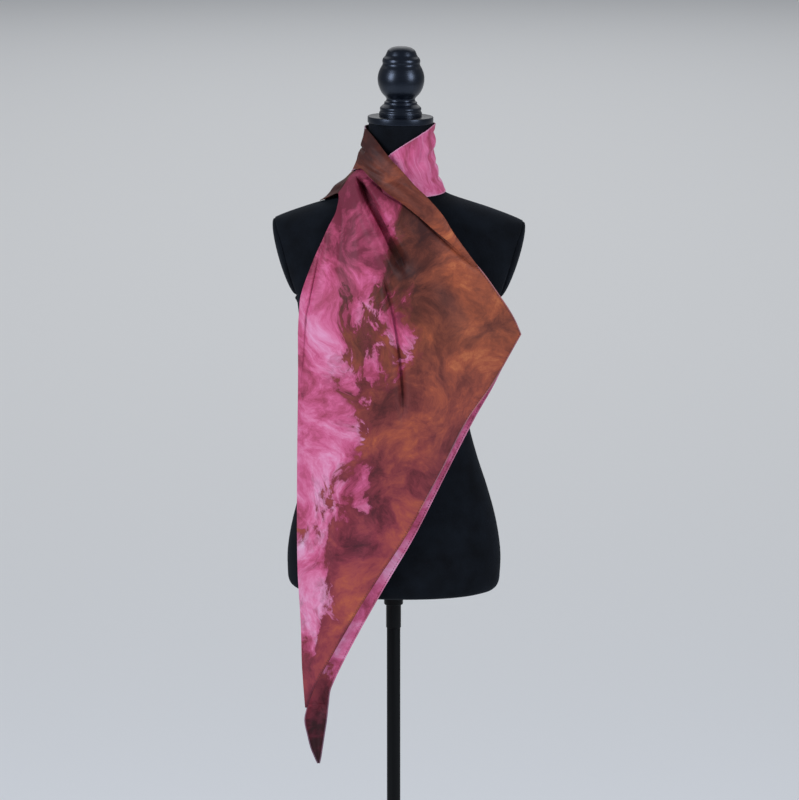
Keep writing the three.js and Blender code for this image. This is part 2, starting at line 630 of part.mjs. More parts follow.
function addForm() {
  const capFoot = FORM_SECTIONS.at(-1).height + SEAM_GAP;
  const finialFoot = capFoot + CAP.thickness + SEAM_GAP;
  add(form, 'form_torso', formTorso(), FINISHES.jersey);
  for (const side of [-1, 1]) {
    const plate = add(form, side < 0 ? 'arm_plate_left' : 'arm_plate_right', armPlate(), FINISHES.jersey);
    plate.position.set(side * (ARM_PLATE.face + ARM_PLATE.gap), 0, ARM_PLATE.height);
    plate.rotation.y = side * (Math.PI / 2 + Math.atan(ARM_PLATE.slope));
  }
  const cap = turned(discProfile(CAP.radius, capFoot, capFoot + CAP.thickness, CAP.rim), SIDES.cap);
  add(form, 'neck_cap', cap, FINISHES.lacquer);
  const profile = FINIAL_PROFILE.map(({ above, radius }) => [radius, finialFoot + above]);
  add(form, 'finial', turned([[0, finialFoot], ...profile], SIDES.finial), FINISHES.lacquer);
}

function addScarf() {
  WRAP_STRETCHES.forEach(({ name, from, to, columns, rows }, place) => {
    const start = place > 0 ? from + WRAP_GAP_ANGLE : from;
    const pointAt = (across, down) => wrapPoint(mix(start, to, across), 1 - down);
    const material = place > 0 ? FINISHES.silkBrown : FINISHES.silkPink;
    add(form, name, sheetSolid(pointAt, { columns, rows }), material);
  });
  const collar = sheetSolid((along, down) => collarPoint(along, 1 - down), COLLAR_GRID);
  add(form, 'collar_fold', collar, FINISHES.silkBrown);
  add(form, 'front_panel', sheetSolid(panelPoint, PANEL_GRID), FINISHES.silkBrown);
  add(form, 'rear_panel', sheetSolid(rearPoint, REAR_GRID), FINISHES.silkPink);
  add(form, 'scarf_tip', sheetSolid(tipPoint, TIP_GRID), FINISHES.silkBrown);
  add(form, 'shoulder_fall', sheetSolid(fallPoint, FALL_GRID), FINISHES.silkBrown);
}

addStand();
addForm();
addScarf();

const scarfOnForm = new THREE.Group();
scarfOnForm.add(stand, leaning);

export default scarfOnForm;
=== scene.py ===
"""Looks of a silk square scarf, folded near its diagonal and wound round a limbless dress form.

Sizes are in millimetres until a mesh is made. The front faces -Y, +Z is up, and a depth is
measured forwards from the pole. The form leans a little on its pole, so what it carries is worked
out upright and leaned just before it becomes a mesh.
"""

import math

import bmesh
import bpy
import numpy as np
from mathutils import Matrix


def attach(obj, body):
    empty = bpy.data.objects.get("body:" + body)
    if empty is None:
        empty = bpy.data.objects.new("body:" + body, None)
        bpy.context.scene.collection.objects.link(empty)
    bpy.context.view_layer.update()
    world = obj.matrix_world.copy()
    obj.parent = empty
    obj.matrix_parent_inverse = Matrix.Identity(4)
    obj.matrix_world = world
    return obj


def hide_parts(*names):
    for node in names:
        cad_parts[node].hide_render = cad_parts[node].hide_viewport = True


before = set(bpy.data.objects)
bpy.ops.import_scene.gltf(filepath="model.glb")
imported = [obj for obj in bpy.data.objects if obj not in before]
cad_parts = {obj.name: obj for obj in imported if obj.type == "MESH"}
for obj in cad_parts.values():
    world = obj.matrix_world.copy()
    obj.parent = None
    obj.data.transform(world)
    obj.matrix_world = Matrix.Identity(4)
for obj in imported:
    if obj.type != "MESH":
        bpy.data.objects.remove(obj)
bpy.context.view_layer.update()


# Sizes

def table(names, *rows):
    """Columns of a table by name, each as an array."""
    return dict(zip(names.split(), np.array(rows, float).T))


MM = 0.001
SILK_WALL = 0.5
LEAN = math.radians(0.84)

# Stand
BASE = {"radius": 150, "bottom": 0, "top": 8, "rim": 2}
HUB = {"radius": 20, "bore": 11, "bottom": 8.3, "top": 42.3, "rim": 3}
LOWER_POLE = {"radius": 10.7, "bottom": 8.3, "top": 712, "rim": 0.5}
UPPER_POLE = {"radius": 11.8, "bottom": 712.3, "top": 1050, "rim": 0.8}
COLLAR = {"radius": 15, "bore": 12.4, "bottom": 750, "top": 777.4, "rim": 1.5}
SCREW = {"radius": 2.4, "bottom": 0, "top": 3, "rim": 0.5, "height": 770, "gap": 0.3, "sides": 24}
RIM_STEPS = 6
STAND_SIDES = 72
PLATE_SIDES = 96
TURNED_SIDES = 128
SHARP = {"stand": 40, "rest": 50}  # degrees between faces that make an edge
TOUCHING = 1e-6  # metres between points that are merged

# Dress form
FORM_FOOT = 778
FORM_POWER = 2.1
FORM_GRID = {"around": 144, "down": 230}
SOCKET = {"mouth": 13.2, "end": 17.2, "depth": 328, "steps": 10}
ARM = {"height": 1305, "face": 174.7, "slope": 0.3, "cut_foot": 1242}
PLATE = {"half_height": 62, "half_depth": 43, "rim": 1.5, "dome": 10, "gap": 0.36, "rings": 24}
CAP = {"radius": 51, "bottom": 1516, "top": 1526.5, "rim": 1.6}
FINIAL_FOOT = 1526.8
FINIAL_STEPS = 130
SHOULDER = {"low": 1271, "high": 1445, "halvings": 20}

FORM = table(
    "height half_width front back",
    (778, 150, 88, 92),
    (781, 159, 96, 100),
    (788, 165, 101, 106),
    (800, 167.5, 104, 110),
    (840, 168, 105, 114),
    (890, 160, 102, 111),
    (940, 146, 97, 101),
    (990, 129, 90, 88),
    (1040, 115, 84, 76),
    (1070, 111, 82, 71),
    (1110, 119, 86, 73),
    (1150, 137, 95, 82),
    (1190, 151, 105, 92),
    (1233, 157, 110, 100),
    (1241, 161, 110, 101.5),
    (1243, 162, 109.8, 102),
    (1250, 166, 109, 103),
    (1271, 176, 106, 106),
    (1309, 194, 95, 106),
    (1347, 203, 79, 95),
    (1358, 200, 75, 90),
    (1366, 192, 72, 85),
    (1384, 145, 67, 73),
    (1403, 84, 61, 63),
    (1412, 67, 58, 59),
    (1425, 56, 53, 54),
    (1445, 50, 49.5, 50),
    (1515.7, 49, 49, 49),
)

FINIAL = table(
    "above radius",
    (0, 33),
    (5.5, 33.2),
    (7.5, 31.8),
    (12.5, 32),
    (15, 30),
    (19, 25.6),
    (21.5, 25.4),
    (24, 22.6),
    (28, 22.8),
    (35, 29),
    (43, 33.4),
    (53, 36),
    (64, 35.6),
    (73, 32.6),
    (80, 29),
    (85, 29.4),
    (89, 28.4),
    (93, 25),
    (98, 22.8),
    (102, 20.6),
    (105, 16.5),
    (107, 10.5),
    (108, 0),
)

# The scarf round the neck. Angles run from the front towards the right, round the neck.
WRAP = table(
    "angle bottom top foot belly head",
    (-38, 1412, 1452, 66, 61, 58),
    (-15, 1409, 1473, 72, 59, 55.5),
    (16, 1409, 1493, 73, 57, 54),
    (45, 1410, 1506, 73, 56.5, 53.5),
    (69, 1411, 1514, 72, 56, 53.5),
    (90, 1412, 1515, 71, 56, 54),
    (120, 1418, 1514, 70, 57, 55),
    (180, 1428, 1510, 68, 59, 56.5),
    (240, 1434, 1509, 74, 61, 56),
    (270, 1440, 1509, 74, 62, 55),
    (289, 1446, 1508, 73, 63, 56),
)
WRAP_GRID = {"around": 220, "up": 60}
WRAP_END = 288.3
COLLAR_START = 288.8
CRUSH = {"depth": 1.6, "waves": 3.2, "angle": 80, "spread": 55}

# The collar fold, a turned-over band from the left of the neck down the open front
COLLAR_BAND = table(
    "up_x up_z up_depth low_x low_z low_depth bow",
    (-39, 1495, 42, -65, 1448, 36, 5),
    (-17, 1470, 64, -58, 1449, 47, 7),
    (0, 1453, 73, -43, 1436, 62, 7),
    (24, 1428, 83, -19, 1417, 77, 7),
    (42, 1412, 89, 6, 1401, 87, 7),
    (67, 1385, 98, 32, 1382, 96, 6),
    (83, 1360, 103.5, 55, 1363, 101.7, 4),
    (101, 1336, 107, 81, 1343, 106.4, 3),
    (122, 1308, 106.5, 119, 1309, 106.5, 0),
)
COLLAR_GRID = {"along": 160, "across": 40}

# Level sections of the front panel: its left fold, its right edge, and its depth across
PANEL = table(
    "height left right left_depth mid_depth right_depth corner",
    (1450, -60, -48, 24, 36, 45, 0),
    (1436, -76.2, -40, 25.5, 49, 59.6, 0),
    (1417, -88.8, -16, 30.6, 70, 74.3, 0),
    (1410, -94.2, -4, 32.8, 77, 79, 0),
    (1401, -94.5, 9, 43, 84, 84.3, 0),
    (1382, -99, 35, 63, 94, 93.3, 0),
    (1363, -109, 58, 72, 101, 98.3, 0),
    (1343, -118, 84, 77, 108, 102.3, 0),
    (1309, -133, 121, 84, 117, 102, 0),
    (1257, -151, 159, 90, 127, 87, 0),
    (1225, -154, 179, 92, 130.5, 74, 0),
    (1198, -155, 191, 94, 132, 66, 1),
    (1125, -154, 149, 97, 133, 87, 0),
    (1069, -154, 109.5, 99, 133, 104, 0),
    (991, -154, 70.5, 101, 132.5, 117, 0),
    (886, -153, 15, 105, 132, 127, 0),
    (820, -151, -26, 110, 131.5, 130, 0),
    (766, -147, -58, 115, 131, 131, 0),
    (692, -142, -98, 121, 130, 130.5, 0),
    (652, -139, -119, 124.5, 129, 130, 0),
    (613, -135.3, -132.8, 128, 128.3, 128.5, 0),
)
PANEL_GRID = {"across": 150, "down": 260, "turn": 12}
PANEL_CROWDING = 1.12
PANEL_CALM = {"from": 10, "to": 80}
FINE_CALM = {"from": 12, "to": 52}
ROLL = {"depth": 14, "width": 13, "top": 1300, "bottom": 720, "fade": 90}
FOLD_TURN = {"inset": 1.6, "aside": 2.2, "behind": 4, "narrow": 30, "strip": 12, "short": 1.2}
JOINED = {"from": 1402, "to": 1412}
FOLD_FADE = {"before": 0.12, "start": 0.24, "after": 0.15, "end": 0.4}

# Folds that the solid has too. A trough runs from (x0, z0) to (x1, z1), bowed sideways, and a ridge
# has a negative depth. Half its breadth is the width at its start and the spread at its end.
FOLD_COLUMNS = "x0 z0 x1 z1 bow width spread depth crisp"
MAIN_FOLDS = table(
    FOLD_COLUMNS,
    (-62, 1425, 10, 1304, 1.5, 7, 12, 15, 2),
    (-66, 1413, -6, 1294, 0, 6, 9, -6, 2),
    (-52, 1436, 6, 1394, 0, 6, 8, 4, 2),
    (8, 1325, 14, 1190, 0, 20, 28, 5, 2),
    (-21, 1280, 12, 1070, 6, 8, 9, 4.5, 2),
    (-90, 1405, -86, 1255, 0, 10, 16, 4, 2),
    (58, 1150, 6, 860, 8, 24, 20, -4, 2),
    (-50, 1040, -96, 740, 6, 26, 20, 4, 2),
)
# Creases too fine for the solid
FINE_FOLDS = table(
    FOLD_COLUMNS,
    (-61, 1431, 2, 1312, 1, 4, 5, 26, 4),
    (-71, 1427, -9, 1304, 2, 4, 5, -5, 2),
    (-46, 1423, 15, 1318, 0, 4, 6, -3.6, 2),
    (-54, 1443, -6, 1404, 0, 2.8, 3.6, 5.5, 2),
    (-30, 1424, 34, 1380, 0, 2.6, 3.4, 4, 2),
    (30, 1383, 118, 1305, -1, 3.4, 3, 4, 2),
    (-56, 1432, -10, 1396, 0, 4, 5, -2.6, 2),
    (-47, 1414, 0, 1350, -3, 5, 8, 3, 2),
    (-30, 1402, 26, 1352, 0, 6, 10, -2, 2),
    (-21, 1282, 10, 1078, 7.5, 3, 4.2, 8, 1.9),
    (-32, 1278, -6, 1096, 7, 6, 8, -1.5, 2),
    (-86, 1408, -98, 1280, 3, 5, 9, 3, 2),
    (-73, 1416, -62, 1310, 0, 6, 9, -2, 2),
    (-115, 1342, -141, 1212, -2, 2.4, 2.8, 6, 1.7),
    (-140.5, 1228, -151, 1078, 2.5, 2.6, 3.2, 6, 1.7),
    (-112, 1350, -128, 1160, 4, 5, 8, -1.4, 2),
    (60, 1290, 132, 1196, 4, 16, 22, 2.4, 2),
    (-118, 1180, -88, 1010, -8, 16, 24, 2.6, 2),
    (-60, 1130, -84, 930, 5, 14, 20, -2.4, 2),
    (40, 1060, 8, 930, 0, 12, 16, 2.2, 2),
    (-110, 940, -112, 780, 4, 14, 18, 2, 2),
    (-20, 920, -62, 800, 3, 12, 14, -1.8, 2),
)
# Creases of the neck wrap, in distance round the neck and height
WRAP_FOLDS = table(
    FOLD_COLUMNS,
    (116, 1508, 66, 1496, 2, 3, 5, 3.6, 2),
    (112, 1500, 58, 1484, 3, 3, 4, -1.6, 2),
    (122, 1488, 48, 1466, 4, 3.6, 7, 4.2, 2),
    (118, 1455, 56, 1446, -3, 4, 7, 3.6, 2),
    (112, 1434, 66, 1429, 0, 3.4, 5, 3, 2),
    (42, 1503, 30, 1452, 2, 4, 5, 3.4, 2),
    (58, 1494, 46, 1436, -3, 5, 7, -2.4, 2),
    (18, 1484, 2, 1428, 3, 5, 7, 2, 2),
    (-8, 1468, 22, 1422, 0, 5, 8, -1.8, 2),
    (196, 1503, 140, 1489, 3, 4, 7, 3, 2),
    (150, 1476, 222, 1462, -4, 5, 8, 3.2, 2),
    (136, 1446, 188, 1439, 0, 5, 6, 2.2, 2),
    (206, 1497, 262, 1482, 3, 4, 6, 2.8, 2),
    (238, 1462, 280, 1456, 0, 4, 5, 2.6, 2),
    (262, 1479, 296, 1478, 0, 3.4, 3.6, 4, 2),
)
# Creases of the collar fold, in x and height
COLLAR_FOLDS = table(
    FOLD_COLUMNS,
    (-64, 1479, -52, 1475, 0, 3.2, 3.4, 4, 2),
    (-54, 1474, 66, 1374, 3, 6, 4, 2.6, 2),
    (-60, 1457, 8, 1430, -3, 3.6, 5, 2.4, 2),
    (-46, 1488, 12, 1438, 2, 5, 5, -1.8, 2),
)
# Creases of the shoulder fall, in x and depth
FALL_FOLDS = table(
    FOLD_COLUMNS,
    (-76, 16, -98, 22, 0, 3.5, 5, 2, 2),
    (-70, 2, -112, -2, -3, 5, 7, -2, 2),
    (-68, -14, -108, -30, 3, 5, 6, 2.4, 2),
    (-56, -34, -92, -58, 0, 5, 7, 2, 2),
    (-40, -52, -62, -84, 0, 5, 6, 1.6, 2),
)
# Least distances from the form: of the neck wrap, and of the front panel where it is the only
# layer and where the rear one hangs behind it
CLEARANCE = {"neck": 2.2, "single": 2.6, "double": 7.9, "from": 1352, "to": 1366}
WRAP_FOOT = {"radius": 76, "left": -32, "foot": 1398, "fade": 7}  # the front panel stays outside it
RIPPLES = {"height": 0.55, "length": 46, "waves": 9, "seed": 7, "turns": (-0.5, 0.9), "shares": (0.7, 2.2)}

# The rear panel hangs behind the front one, and its hem shows past it on the right
REAR = table(
    "height right corner",
    (1350, 66, 0),
    (1309, 108, 0),
    (1257, 148, 0),
    (1198, 186, 1),
    (1125, 152, 0),
    (1069, 120, 0),
    (991, 80.5, 0),
    (886, 29.5, 0),
    (803, -16.5, 0),
    (720, -60.5, 0),
    (644, -95.5, 0),
    (616, -99.7, 0),
)
REAR_GRID = {"across": 120, "down": 220}
REAR_INSET = {"top": 10, "bottom": 4}
REAR_TAPER = {"from": 1000, "to": 616}
LAYER_GAP = {"fold": 4, "open": 6.2, "within": 0.25}
FREE_SLOPE = 0.12
CONE = {"depth": 9, "from": 690, "to": 616}

# How far the flat cloth of these pieces lies from that of the panel, so that each gets its dye, and its
# share of the painted shade near the neck
FLAT_NECK = {"start": -294, "end": 130, "lower": 300}  # it meets the collar fold's at its end
FLAT_COLLAR = {"shift": 190, "lower": 110}
FLAT_FALL = {"shift": -390, "raised": 60}

# The tip, a folded cone that is open at the front
TIP = table(
    "height left right edge middle",
    (615.6, -132.8, -99.7, 122.3, 113.3),
    (591, -135.6, -102, 124, 114),
    (566, -130.5, -105.4, 124, 115),
    (547, -125.6, -108, 124, 117.5),
    (530, -118.6, -110.4, 123.5, 120.5),
    (522, -114.9, -112.2, 123, 122.6),
)
TIP_GRID = {"down": 70, "joined": 24}

# The fall over the left shoulder, from behind the neck to the gather at the front
FALL = table(
    "angle reach rim_lift",
    (212, 84, 9),
    (230, 104, 2.4),
    (250, 120, 2.4),
    (270, 122, 2.4),
    (288, 99, 14),
)
FALL_BULGE = table(
    "share rise",
    (0, 1),
    (0.25, 0.74),
    (0.55, 0.52),
    (0.7, 0.27),
    (0.85, 0.1),
    (1, 0),
)
FALL_SEAM = {"out": 1.1, "down": 1.3}
FALL_GRID = {"along": 90, "out": 40}
FALL_END = 288.2
FALL_ARC = 90
TUCK = {"depth": 1.4, "from": 286, "to": FALL_END}

# Edges and sewing
HEM = {"radius": 0.95, "sides": 10}
# Below this height the front hem's silk is tinted dark plum, as painted shade.
HEM_DARK_BELOW = 930  # the front hem is in shade below this height
FOLD_EDGE = {"radius": 0.6, "sides": 10}
STITCH = {"spacing": 4.2, "length": 2.4, "radius": 0.42, "inset": 2.1, "sides": 6, "rings": 4}

# Photograph's camera in millimetres, and the studio in metres
CAMERA = {"x": 9.4, "distance": 6000, "height": 2203, "target": 1079, "focal": 175.2, "sensor": 36}
SIGHT = 200
SOFTBOX = {"distance": 3.3, "azimuth": 52, "height": 2.5, "target": 1.2, "size": (1.3, 1.9)}
SOFTBOX_POWERS = (92, 78)
POOL = {"behind": 11, "height": 5, "size": (10, 19), "power": 440}
LAMP_COLOUR = "#e9f1ff"
SKY = {"colour": "#dfe3ea", "strength": 0.28}
FLOOR_HALF = 40


# Shapes

def mix(a, b, t):
    return a + (b - a) * t


def ramp(t):
    """Smoothstep of t, level at 0 and at 1."""
    t = np.clip(t, 0, 1)
    return t * t * (3 - 2 * t)


def eased(value, span):
    """Smoothstep of a value over a span."""
    return ramp((value - span["from"]) / (span["to"] - span["from"]))


def circle(sides):
    """Angles of points round a circle."""
    return np.linspace(0, 2 * math.pi, sides, endpoint=False)


def smooth(rows, key, value, column):
    """Cubic through a table's rows. The slope at a row is that of its neighbours' chord, but at
    an end or a corner row it is that of the stretch itself, so the line turns sharply there."""
    sign = np.sign(rows[key][-1] - rows[key][0])
    keys, values = rows[key] * sign, rows[column]
    place = np.clip(np.asarray(value, float) * sign, keys[0], keys[-1])
    index = np.clip(np.searchsorted(keys, place, "right") - 1, 0, len(keys) - 2)
    own = np.diff(values) / np.diff(keys)
    wide = (values[2:] - values[:-2]) / (keys[2:] - keys[:-2])
    turns = rows.get("corner", np.zeros(len(keys)))[1:-1] > 0
    start, end = own.copy(), own.copy()
    start[1:] = np.where(turns, own[1:], wide)
    end[:-1] = np.where(turns, own[:-1], wide)
    span = np.diff(keys)[index]
    t = (place - keys[index]) / span
    bend = t * (1 - t) * ((start - own)[index] * (1 - t) - (end - own)[index] * t) * span
    return values[index] + own[index] * span * t + bend


def height_along(rows, share):
    """Height at a share of the way through a table's rows, so close rows get a close grid."""
    return np.interp(share * (len(rows["height"]) - 1), np.arange(len(rows["height"])), rows["height"])


def panel_sides(z):
    """Left and right edge of the front panel at a height."""
    return smooth(PANEL, "height", z, "left"), smooth(PANEL, "height", z, "right")


def three_way(start, middle, end, t):
    """Parabola through three values, at 0, 0.5 and 1."""
    return start * (1 - t) * (1 - 2 * t) + middle * 4 * t * (1 - t) + end * t * (2 * t - 1)


def on_form(x, depth, z):
    return np.stack(np.broadcast_arrays(x, -np.asarray(depth), z), -1)


def lean(points):
    """Leans points about the middle of the form's underside."""
    x, y, z = np.moveaxis(points, -1, 0)
    up = z - FORM_FOOT
    c, s = math.cos(LEAN), math.sin(LEAN)
    return np.stack([x * c + up * s, y, FORM_FOOT + up * c - x * s], -1)


def shares(down, across):
    """Two arrays of shares from 0 to 1 over a grid: across it, and down it."""
    return np.meshgrid(np.linspace(0, 1, across + 1), np.linspace(0, 1, down + 1))


def ripples(x, z):
    """Shallow waves of hanging silk: plane waves of mixed directions and lengths, added up."""
    random = np.random.default_rng(RIPPLES["seed"])
    total = np.zeros_like(x)
    for _ in range(RIPPLES["waves"]):
        turn = random.uniform(*RIPPLES["turns"])
        length = RIPPLES["length"] * random.uniform(*RIPPLES["shares"])
        phase = random.uniform(0, 2 * math.pi)
        total += np.sin(2 * math.pi * (x * math.cos(turn) + z * math.sin(turn)) / length + phase)
    return RIPPLES["height"] * total / math.sqrt(RIPPLES["waves"])


def folds_depth(folds, x, z):
    """Depth that a table of folds takes away. Each is a trough along a bowed line with a
    bell-shaped section, fading at both ends; a lower crisp power makes a sharper bottom."""
    total = np.zeros_like(x)
    for x0, z0, x1, z1, bow, width, spread, depth, crisp in zip(*folds.values()):
        dx, dz = x1 - x0, z1 - z0
        length = math.hypot(dx, dz)
        along = ((x - x0) * dx + (z - z0) * dz) / length ** 2
        t = np.clip(along, 0, 1)
        aside = ((x - x0) * dz - (z - z0) * dx) / length + bow * 4 * t * (1 - t)
        fade_in = ramp((along + FOLD_FADE["before"]) / FOLD_FADE["start"])
        fade_out = ramp((1 + FOLD_FADE["after"] - along) / FOLD_FADE["end"])
        section = np.exp(-np.abs(aside / mix(width, spread, t)) ** crisp)
        total += depth * fade_in * fade_out * section
    return total


def roll_share(z):
    """How far the panel's left side rolls back at a height, from 0 to 1."""
    upper = ramp((ROLL["top"] - z) / ROLL["fade"] + 0.5)
    return upper * ramp((z - ROLL["bottom"]) / ROLL["fade"] + 0.5)


def panel_depth(x, z):
    """Depth of the front panel: a parabola across, less its folds, and rolled back at the left."""
    left, right = panel_sides(z)
    across = np.clip((x - left) / (right - left), 0, 1)
    columns = [smooth(PANEL, "height", z, name) for name in ("left_depth", "mid_depth", "right_depth")]
    calm = eased(right - left, PANEL_CALM)
    roll = ROLL["depth"] * roll_share(z) * np.maximum(0, 1 - (x - left) / ROLL["width"]) ** 2
    return three_way(*columns, across) - folds_depth(MAIN_FOLDS, x, z) * calm - roll


def form_depth(x, z):
    """Depth of the form's front over a place, or 0 beside it."""
    wide, deep = smooth(FORM, "height", z, "half_width"), smooth(FORM, "height", z, "front")
    return deep * np.maximum(0, 1 - np.abs(x / wide) ** FORM_POWER) ** (1 / FORM_POWER)


def creased_depth(x, z):
    """The panel's depth with its fine creases and ripples, which fade where it is narrow. Where a
    fold is deep, its bottom lies close to the form or to the foot of the neck wrap."""
    left, right = panel_sides(z)
    calm = eased(right - left, FINE_CALM)
    depth = panel_depth(x, z) + (ripples(x, z) - folds_depth(FINE_FOLDS, x, z)) * calm
    form = form_depth(x, z) + mix(CLEARANCE["double"], CLEARANCE["single"], eased(z, CLEARANCE))
    round_neck = np.sqrt(np.maximum(0, WRAP_FOOT["radius"] ** 2 - x ** 2))
    beside = ramp((x - WRAP_FOOT["left"]) / WRAP_FOOT["fade"])
    above = ramp((z - WRAP_FOOT["foot"]) / WRAP_FOOT["fade"])
    return np.maximum(depth, np.maximum(form, round_neck * beside * above))


def rear_left(z):
    """Left edge of the rear panel, a little inside the front one's fold."""
    return panel_sides(z)[0] + mix(REAR_INSET["top"], REAR_INSET["bottom"], eased(z, REAR_TAPER))


def rear_depth(x, z, across):
    """Depth of the rear panel: the front one's, moved back by the gap between the layers. Past
    the front hem it falls away, and near the tip its edges fold forwards."""
    hem = panel_sides(z)[1]
    gap = mix(LAYER_GAP["fold"], LAYER_GAP["open"], ramp(across / LAYER_GAP["within"]))
    cone = CONE["depth"] * eased(z, CONE) * 4 * across * (1 - across)
    return creased_depth(np.minimum(x, hem), z) - gap - cone - FREE_SLOPE * np.maximum(0, x - hem)


def front_surface():
    """Front panel as a grid, with its left side turned round the fold to meet the rear panel.
    The turn is half an ellipse from edge to edge, bulging aside where the side isn't rolled back
    and behind where it is. It is flat at the top, where the cloth runs on into the shoulder fall."""
    across, down = shares(PANEL_GRID["down"], PANEL_GRID["across"])
    z = height_along(PANEL, down)
    left, right = panel_sides(z)
    free = 1 - eased(z, JOINED)
    left = left + FOLD_TURN["inset"] * free * np.minimum(1, (right - left) / FOLD_TURN["narrow"])
    x = mix(left, right, across ** PANEL_CROWDING)
    main = on_form(x, creased_depth(x, z), z)

    turn, down = shares(PANEL_GRID["down"], PANEL_GRID["turn"])
    z, free = height_along(PANEL, down), free[:, :1]
    angle = math.pi * (1 - turn)
    x0, depth0 = main[:, :1, 0], -main[:, :1, 1]
    x1 = np.maximum(rear_left(z) - FOLD_TURN["short"], x0)
    depth1 = rear_depth(x1, z, np.zeros_like(z))
    width = np.minimum(1, (panel_sides(z)[1] - x0) / FOLD_TURN["narrow"])
    there = width * (1 - np.cos(angle)) / 2
    aside = FOLD_TURN["aside"] * (1 - roll_share(z)) * width * free
    behind = FOLD_TURN["behind"] * roll_share(z) * width
    bulge = np.sin(angle)
    back = on_form(mix(x0, x1, there) - aside * bulge, mix(depth0, depth1, there) - behind * bulge, z)
    points = np.concatenate([back[:, :-1], main], 1)
    flat_x = np.concatenate([x0 - FOLD_TURN["strip"] * (1 - turn[:, :-1]), x], 1)
    return points, np.stack([flat_x, points[..., 2]], -1)


def rear_surface():
    """Rear panel as a grid. Its flat coordinates are mirrored about the fold."""
    across, down = shares(REAR_GRID["down"], REAR_GRID["across"])
    z = height_along(REAR, down)
    x = mix(rear_left(z), smooth(REAR, "height", z, "right"), across)
    points = on_form(x, rear_depth(x, z, across), z)
    return points, np.stack([2 * panel_sides(z)[0] - x, z], -1)


def wrap_points(angle, up):
    """Scarf round the neck: at each angle a bowed line from foot to head, with soft squeezed
    rings that are strongest at the right of the neck."""
    columns = [smooth(WRAP, "angle", angle, name) for name in ("foot", "belly", "head")]
    crush = CRUSH["depth"] * np.exp(-(((angle - CRUSH["angle"]) / CRUSH["spread"]) ** 2))
    rings = crush * np.sin(2 * math.pi * CRUSH["waves"] * up) * np.sin(math.pi * up)
    radius = three_way(*columns, up) + rings
    turn = np.radians(angle)
    z = mix(smooth(WRAP, "angle", angle, "bottom"), smooth(WRAP, "angle", angle, "top"), up)
    return on_form(radius * np.sin(turn), radius * np.cos(turn), z)


def wrap_surface():
    """The whole neck wrap as one grid, from under the collar fold round the neck to the gather.
    Its creases move it in or out from the neck."""
    across, down = shares(WRAP_GRID["up"], WRAP_GRID["around"])
    angle = mix(WRAP["angle"][0], WRAP_END, across)
    points = wrap_points(angle, 1 - down)
    x, y, z = np.moveaxis(points, -1, 0)
    arc = np.radians(angle) * WRAP["belly"].mean()
    neck = smooth(FORM, "height", z, "half_width") + CLEARANCE["neck"]
    radius = np.hypot(x, y)
    creased = np.maximum(radius - folds_depth(WRAP_FOLDS, arc, z), neck) / radius
    lower = mix(FLAT_NECK["lower"], FLAT_COLLAR["lower"], across)
    flat = np.stack([mix(FLAT_NECK["start"], FLAT_NECK["end"], across), z - lower], -1)
    return np.stack([x * creased, y * creased, z], -1), flat


def collar_surface():
    """Collar fold: straight across from its lower to its upper edge, bowed out from the neck and
    creased. Its first section goes on from the end of the neck wrap."""
    start = wrap_points(np.full(2, COLLAR_START), np.array([0.0, 1.0]))
    first = (start[1, 0], start[1, 2], -start[1, 1], start[0, 0], start[0, 2], -start[0, 1], 2)
    band = {name: np.r_[value, column] for value, (name, column) in zip(first, COLLAR_BAND.items())}
    band["place"] = np.arange(len(band["bow"]), dtype=float)
    along, down = shares(COLLAR_GRID["across"], COLLAR_GRID["along"])
    column = {name: smooth(band, "place", along * band["place"][-1], name) for name in COLLAR_BAND}
    up = 1 - down
    x, depth, z = (mix(column["low_" + axis], column["up_" + axis], up) for axis in ("x", "depth", "z"))
    out = column["bow"] * 4 * up * (1 - up) - folds_depth(COLLAR_FOLDS, x, z)
    bowed = 1 + out / np.hypot(x, depth)
    flat = np.stack([x + FLAT_COLLAR["shift"], z - FLAT_COLLAR["lower"]], -1)
    return on_form(x * bowed, depth * bowed, z), flat


def tip_surface(above):
    """Tip: a parabola across, folded back in the middle. Its top row is the last one of the rear
    panel above it, and what that differs by fades out further down."""
    across, down = shares(TIP_GRID["down"], REAR_GRID["across"])
    z = height_along(TIP, down)
    edge, middle = smooth(TIP, "height", z, "edge"), smooth(TIP, "height", z, "middle")
    x = mix(smooth(TIP, "height", z, "left"), smooth(TIP, "height", z, "right"), across)
    points = on_form(x, mix(edge, middle, 4 * across * (1 - across)), z)
    fade = 1 - ramp((TIP["height"][0] - z) / TIP_GRID["joined"])
    points = points + fade[..., None] * (above[-1] - points[0])
    return points, np.stack([2 * PANEL["left"][-1] - x, z], -1)


def shoulder_height(x, depth):
    """Height of the shoulder over a place, by halving between the chest and the neck's foot."""
    low, high = (np.full_like(x, SHOULDER[end], dtype=float) for end in ("low", "high"))
    for _ in range(SHOULDER["halvings"]):
        middle = (low + high) / 2
        wide = np.interp(middle, FORM["height"], FORM["half_width"])
        front, back = (np.interp(middle, FORM["height"], FORM[side]) for side in ("front", "back"))
        deep = np.where(depth > 0, front, back)
        inside = np.abs(x / wide) ** FORM_POWER + np.abs(depth / deep) ** FORM_POWER < 1
        low, high = np.where(inside, middle, low), np.where(inside, high, middle)
    return low


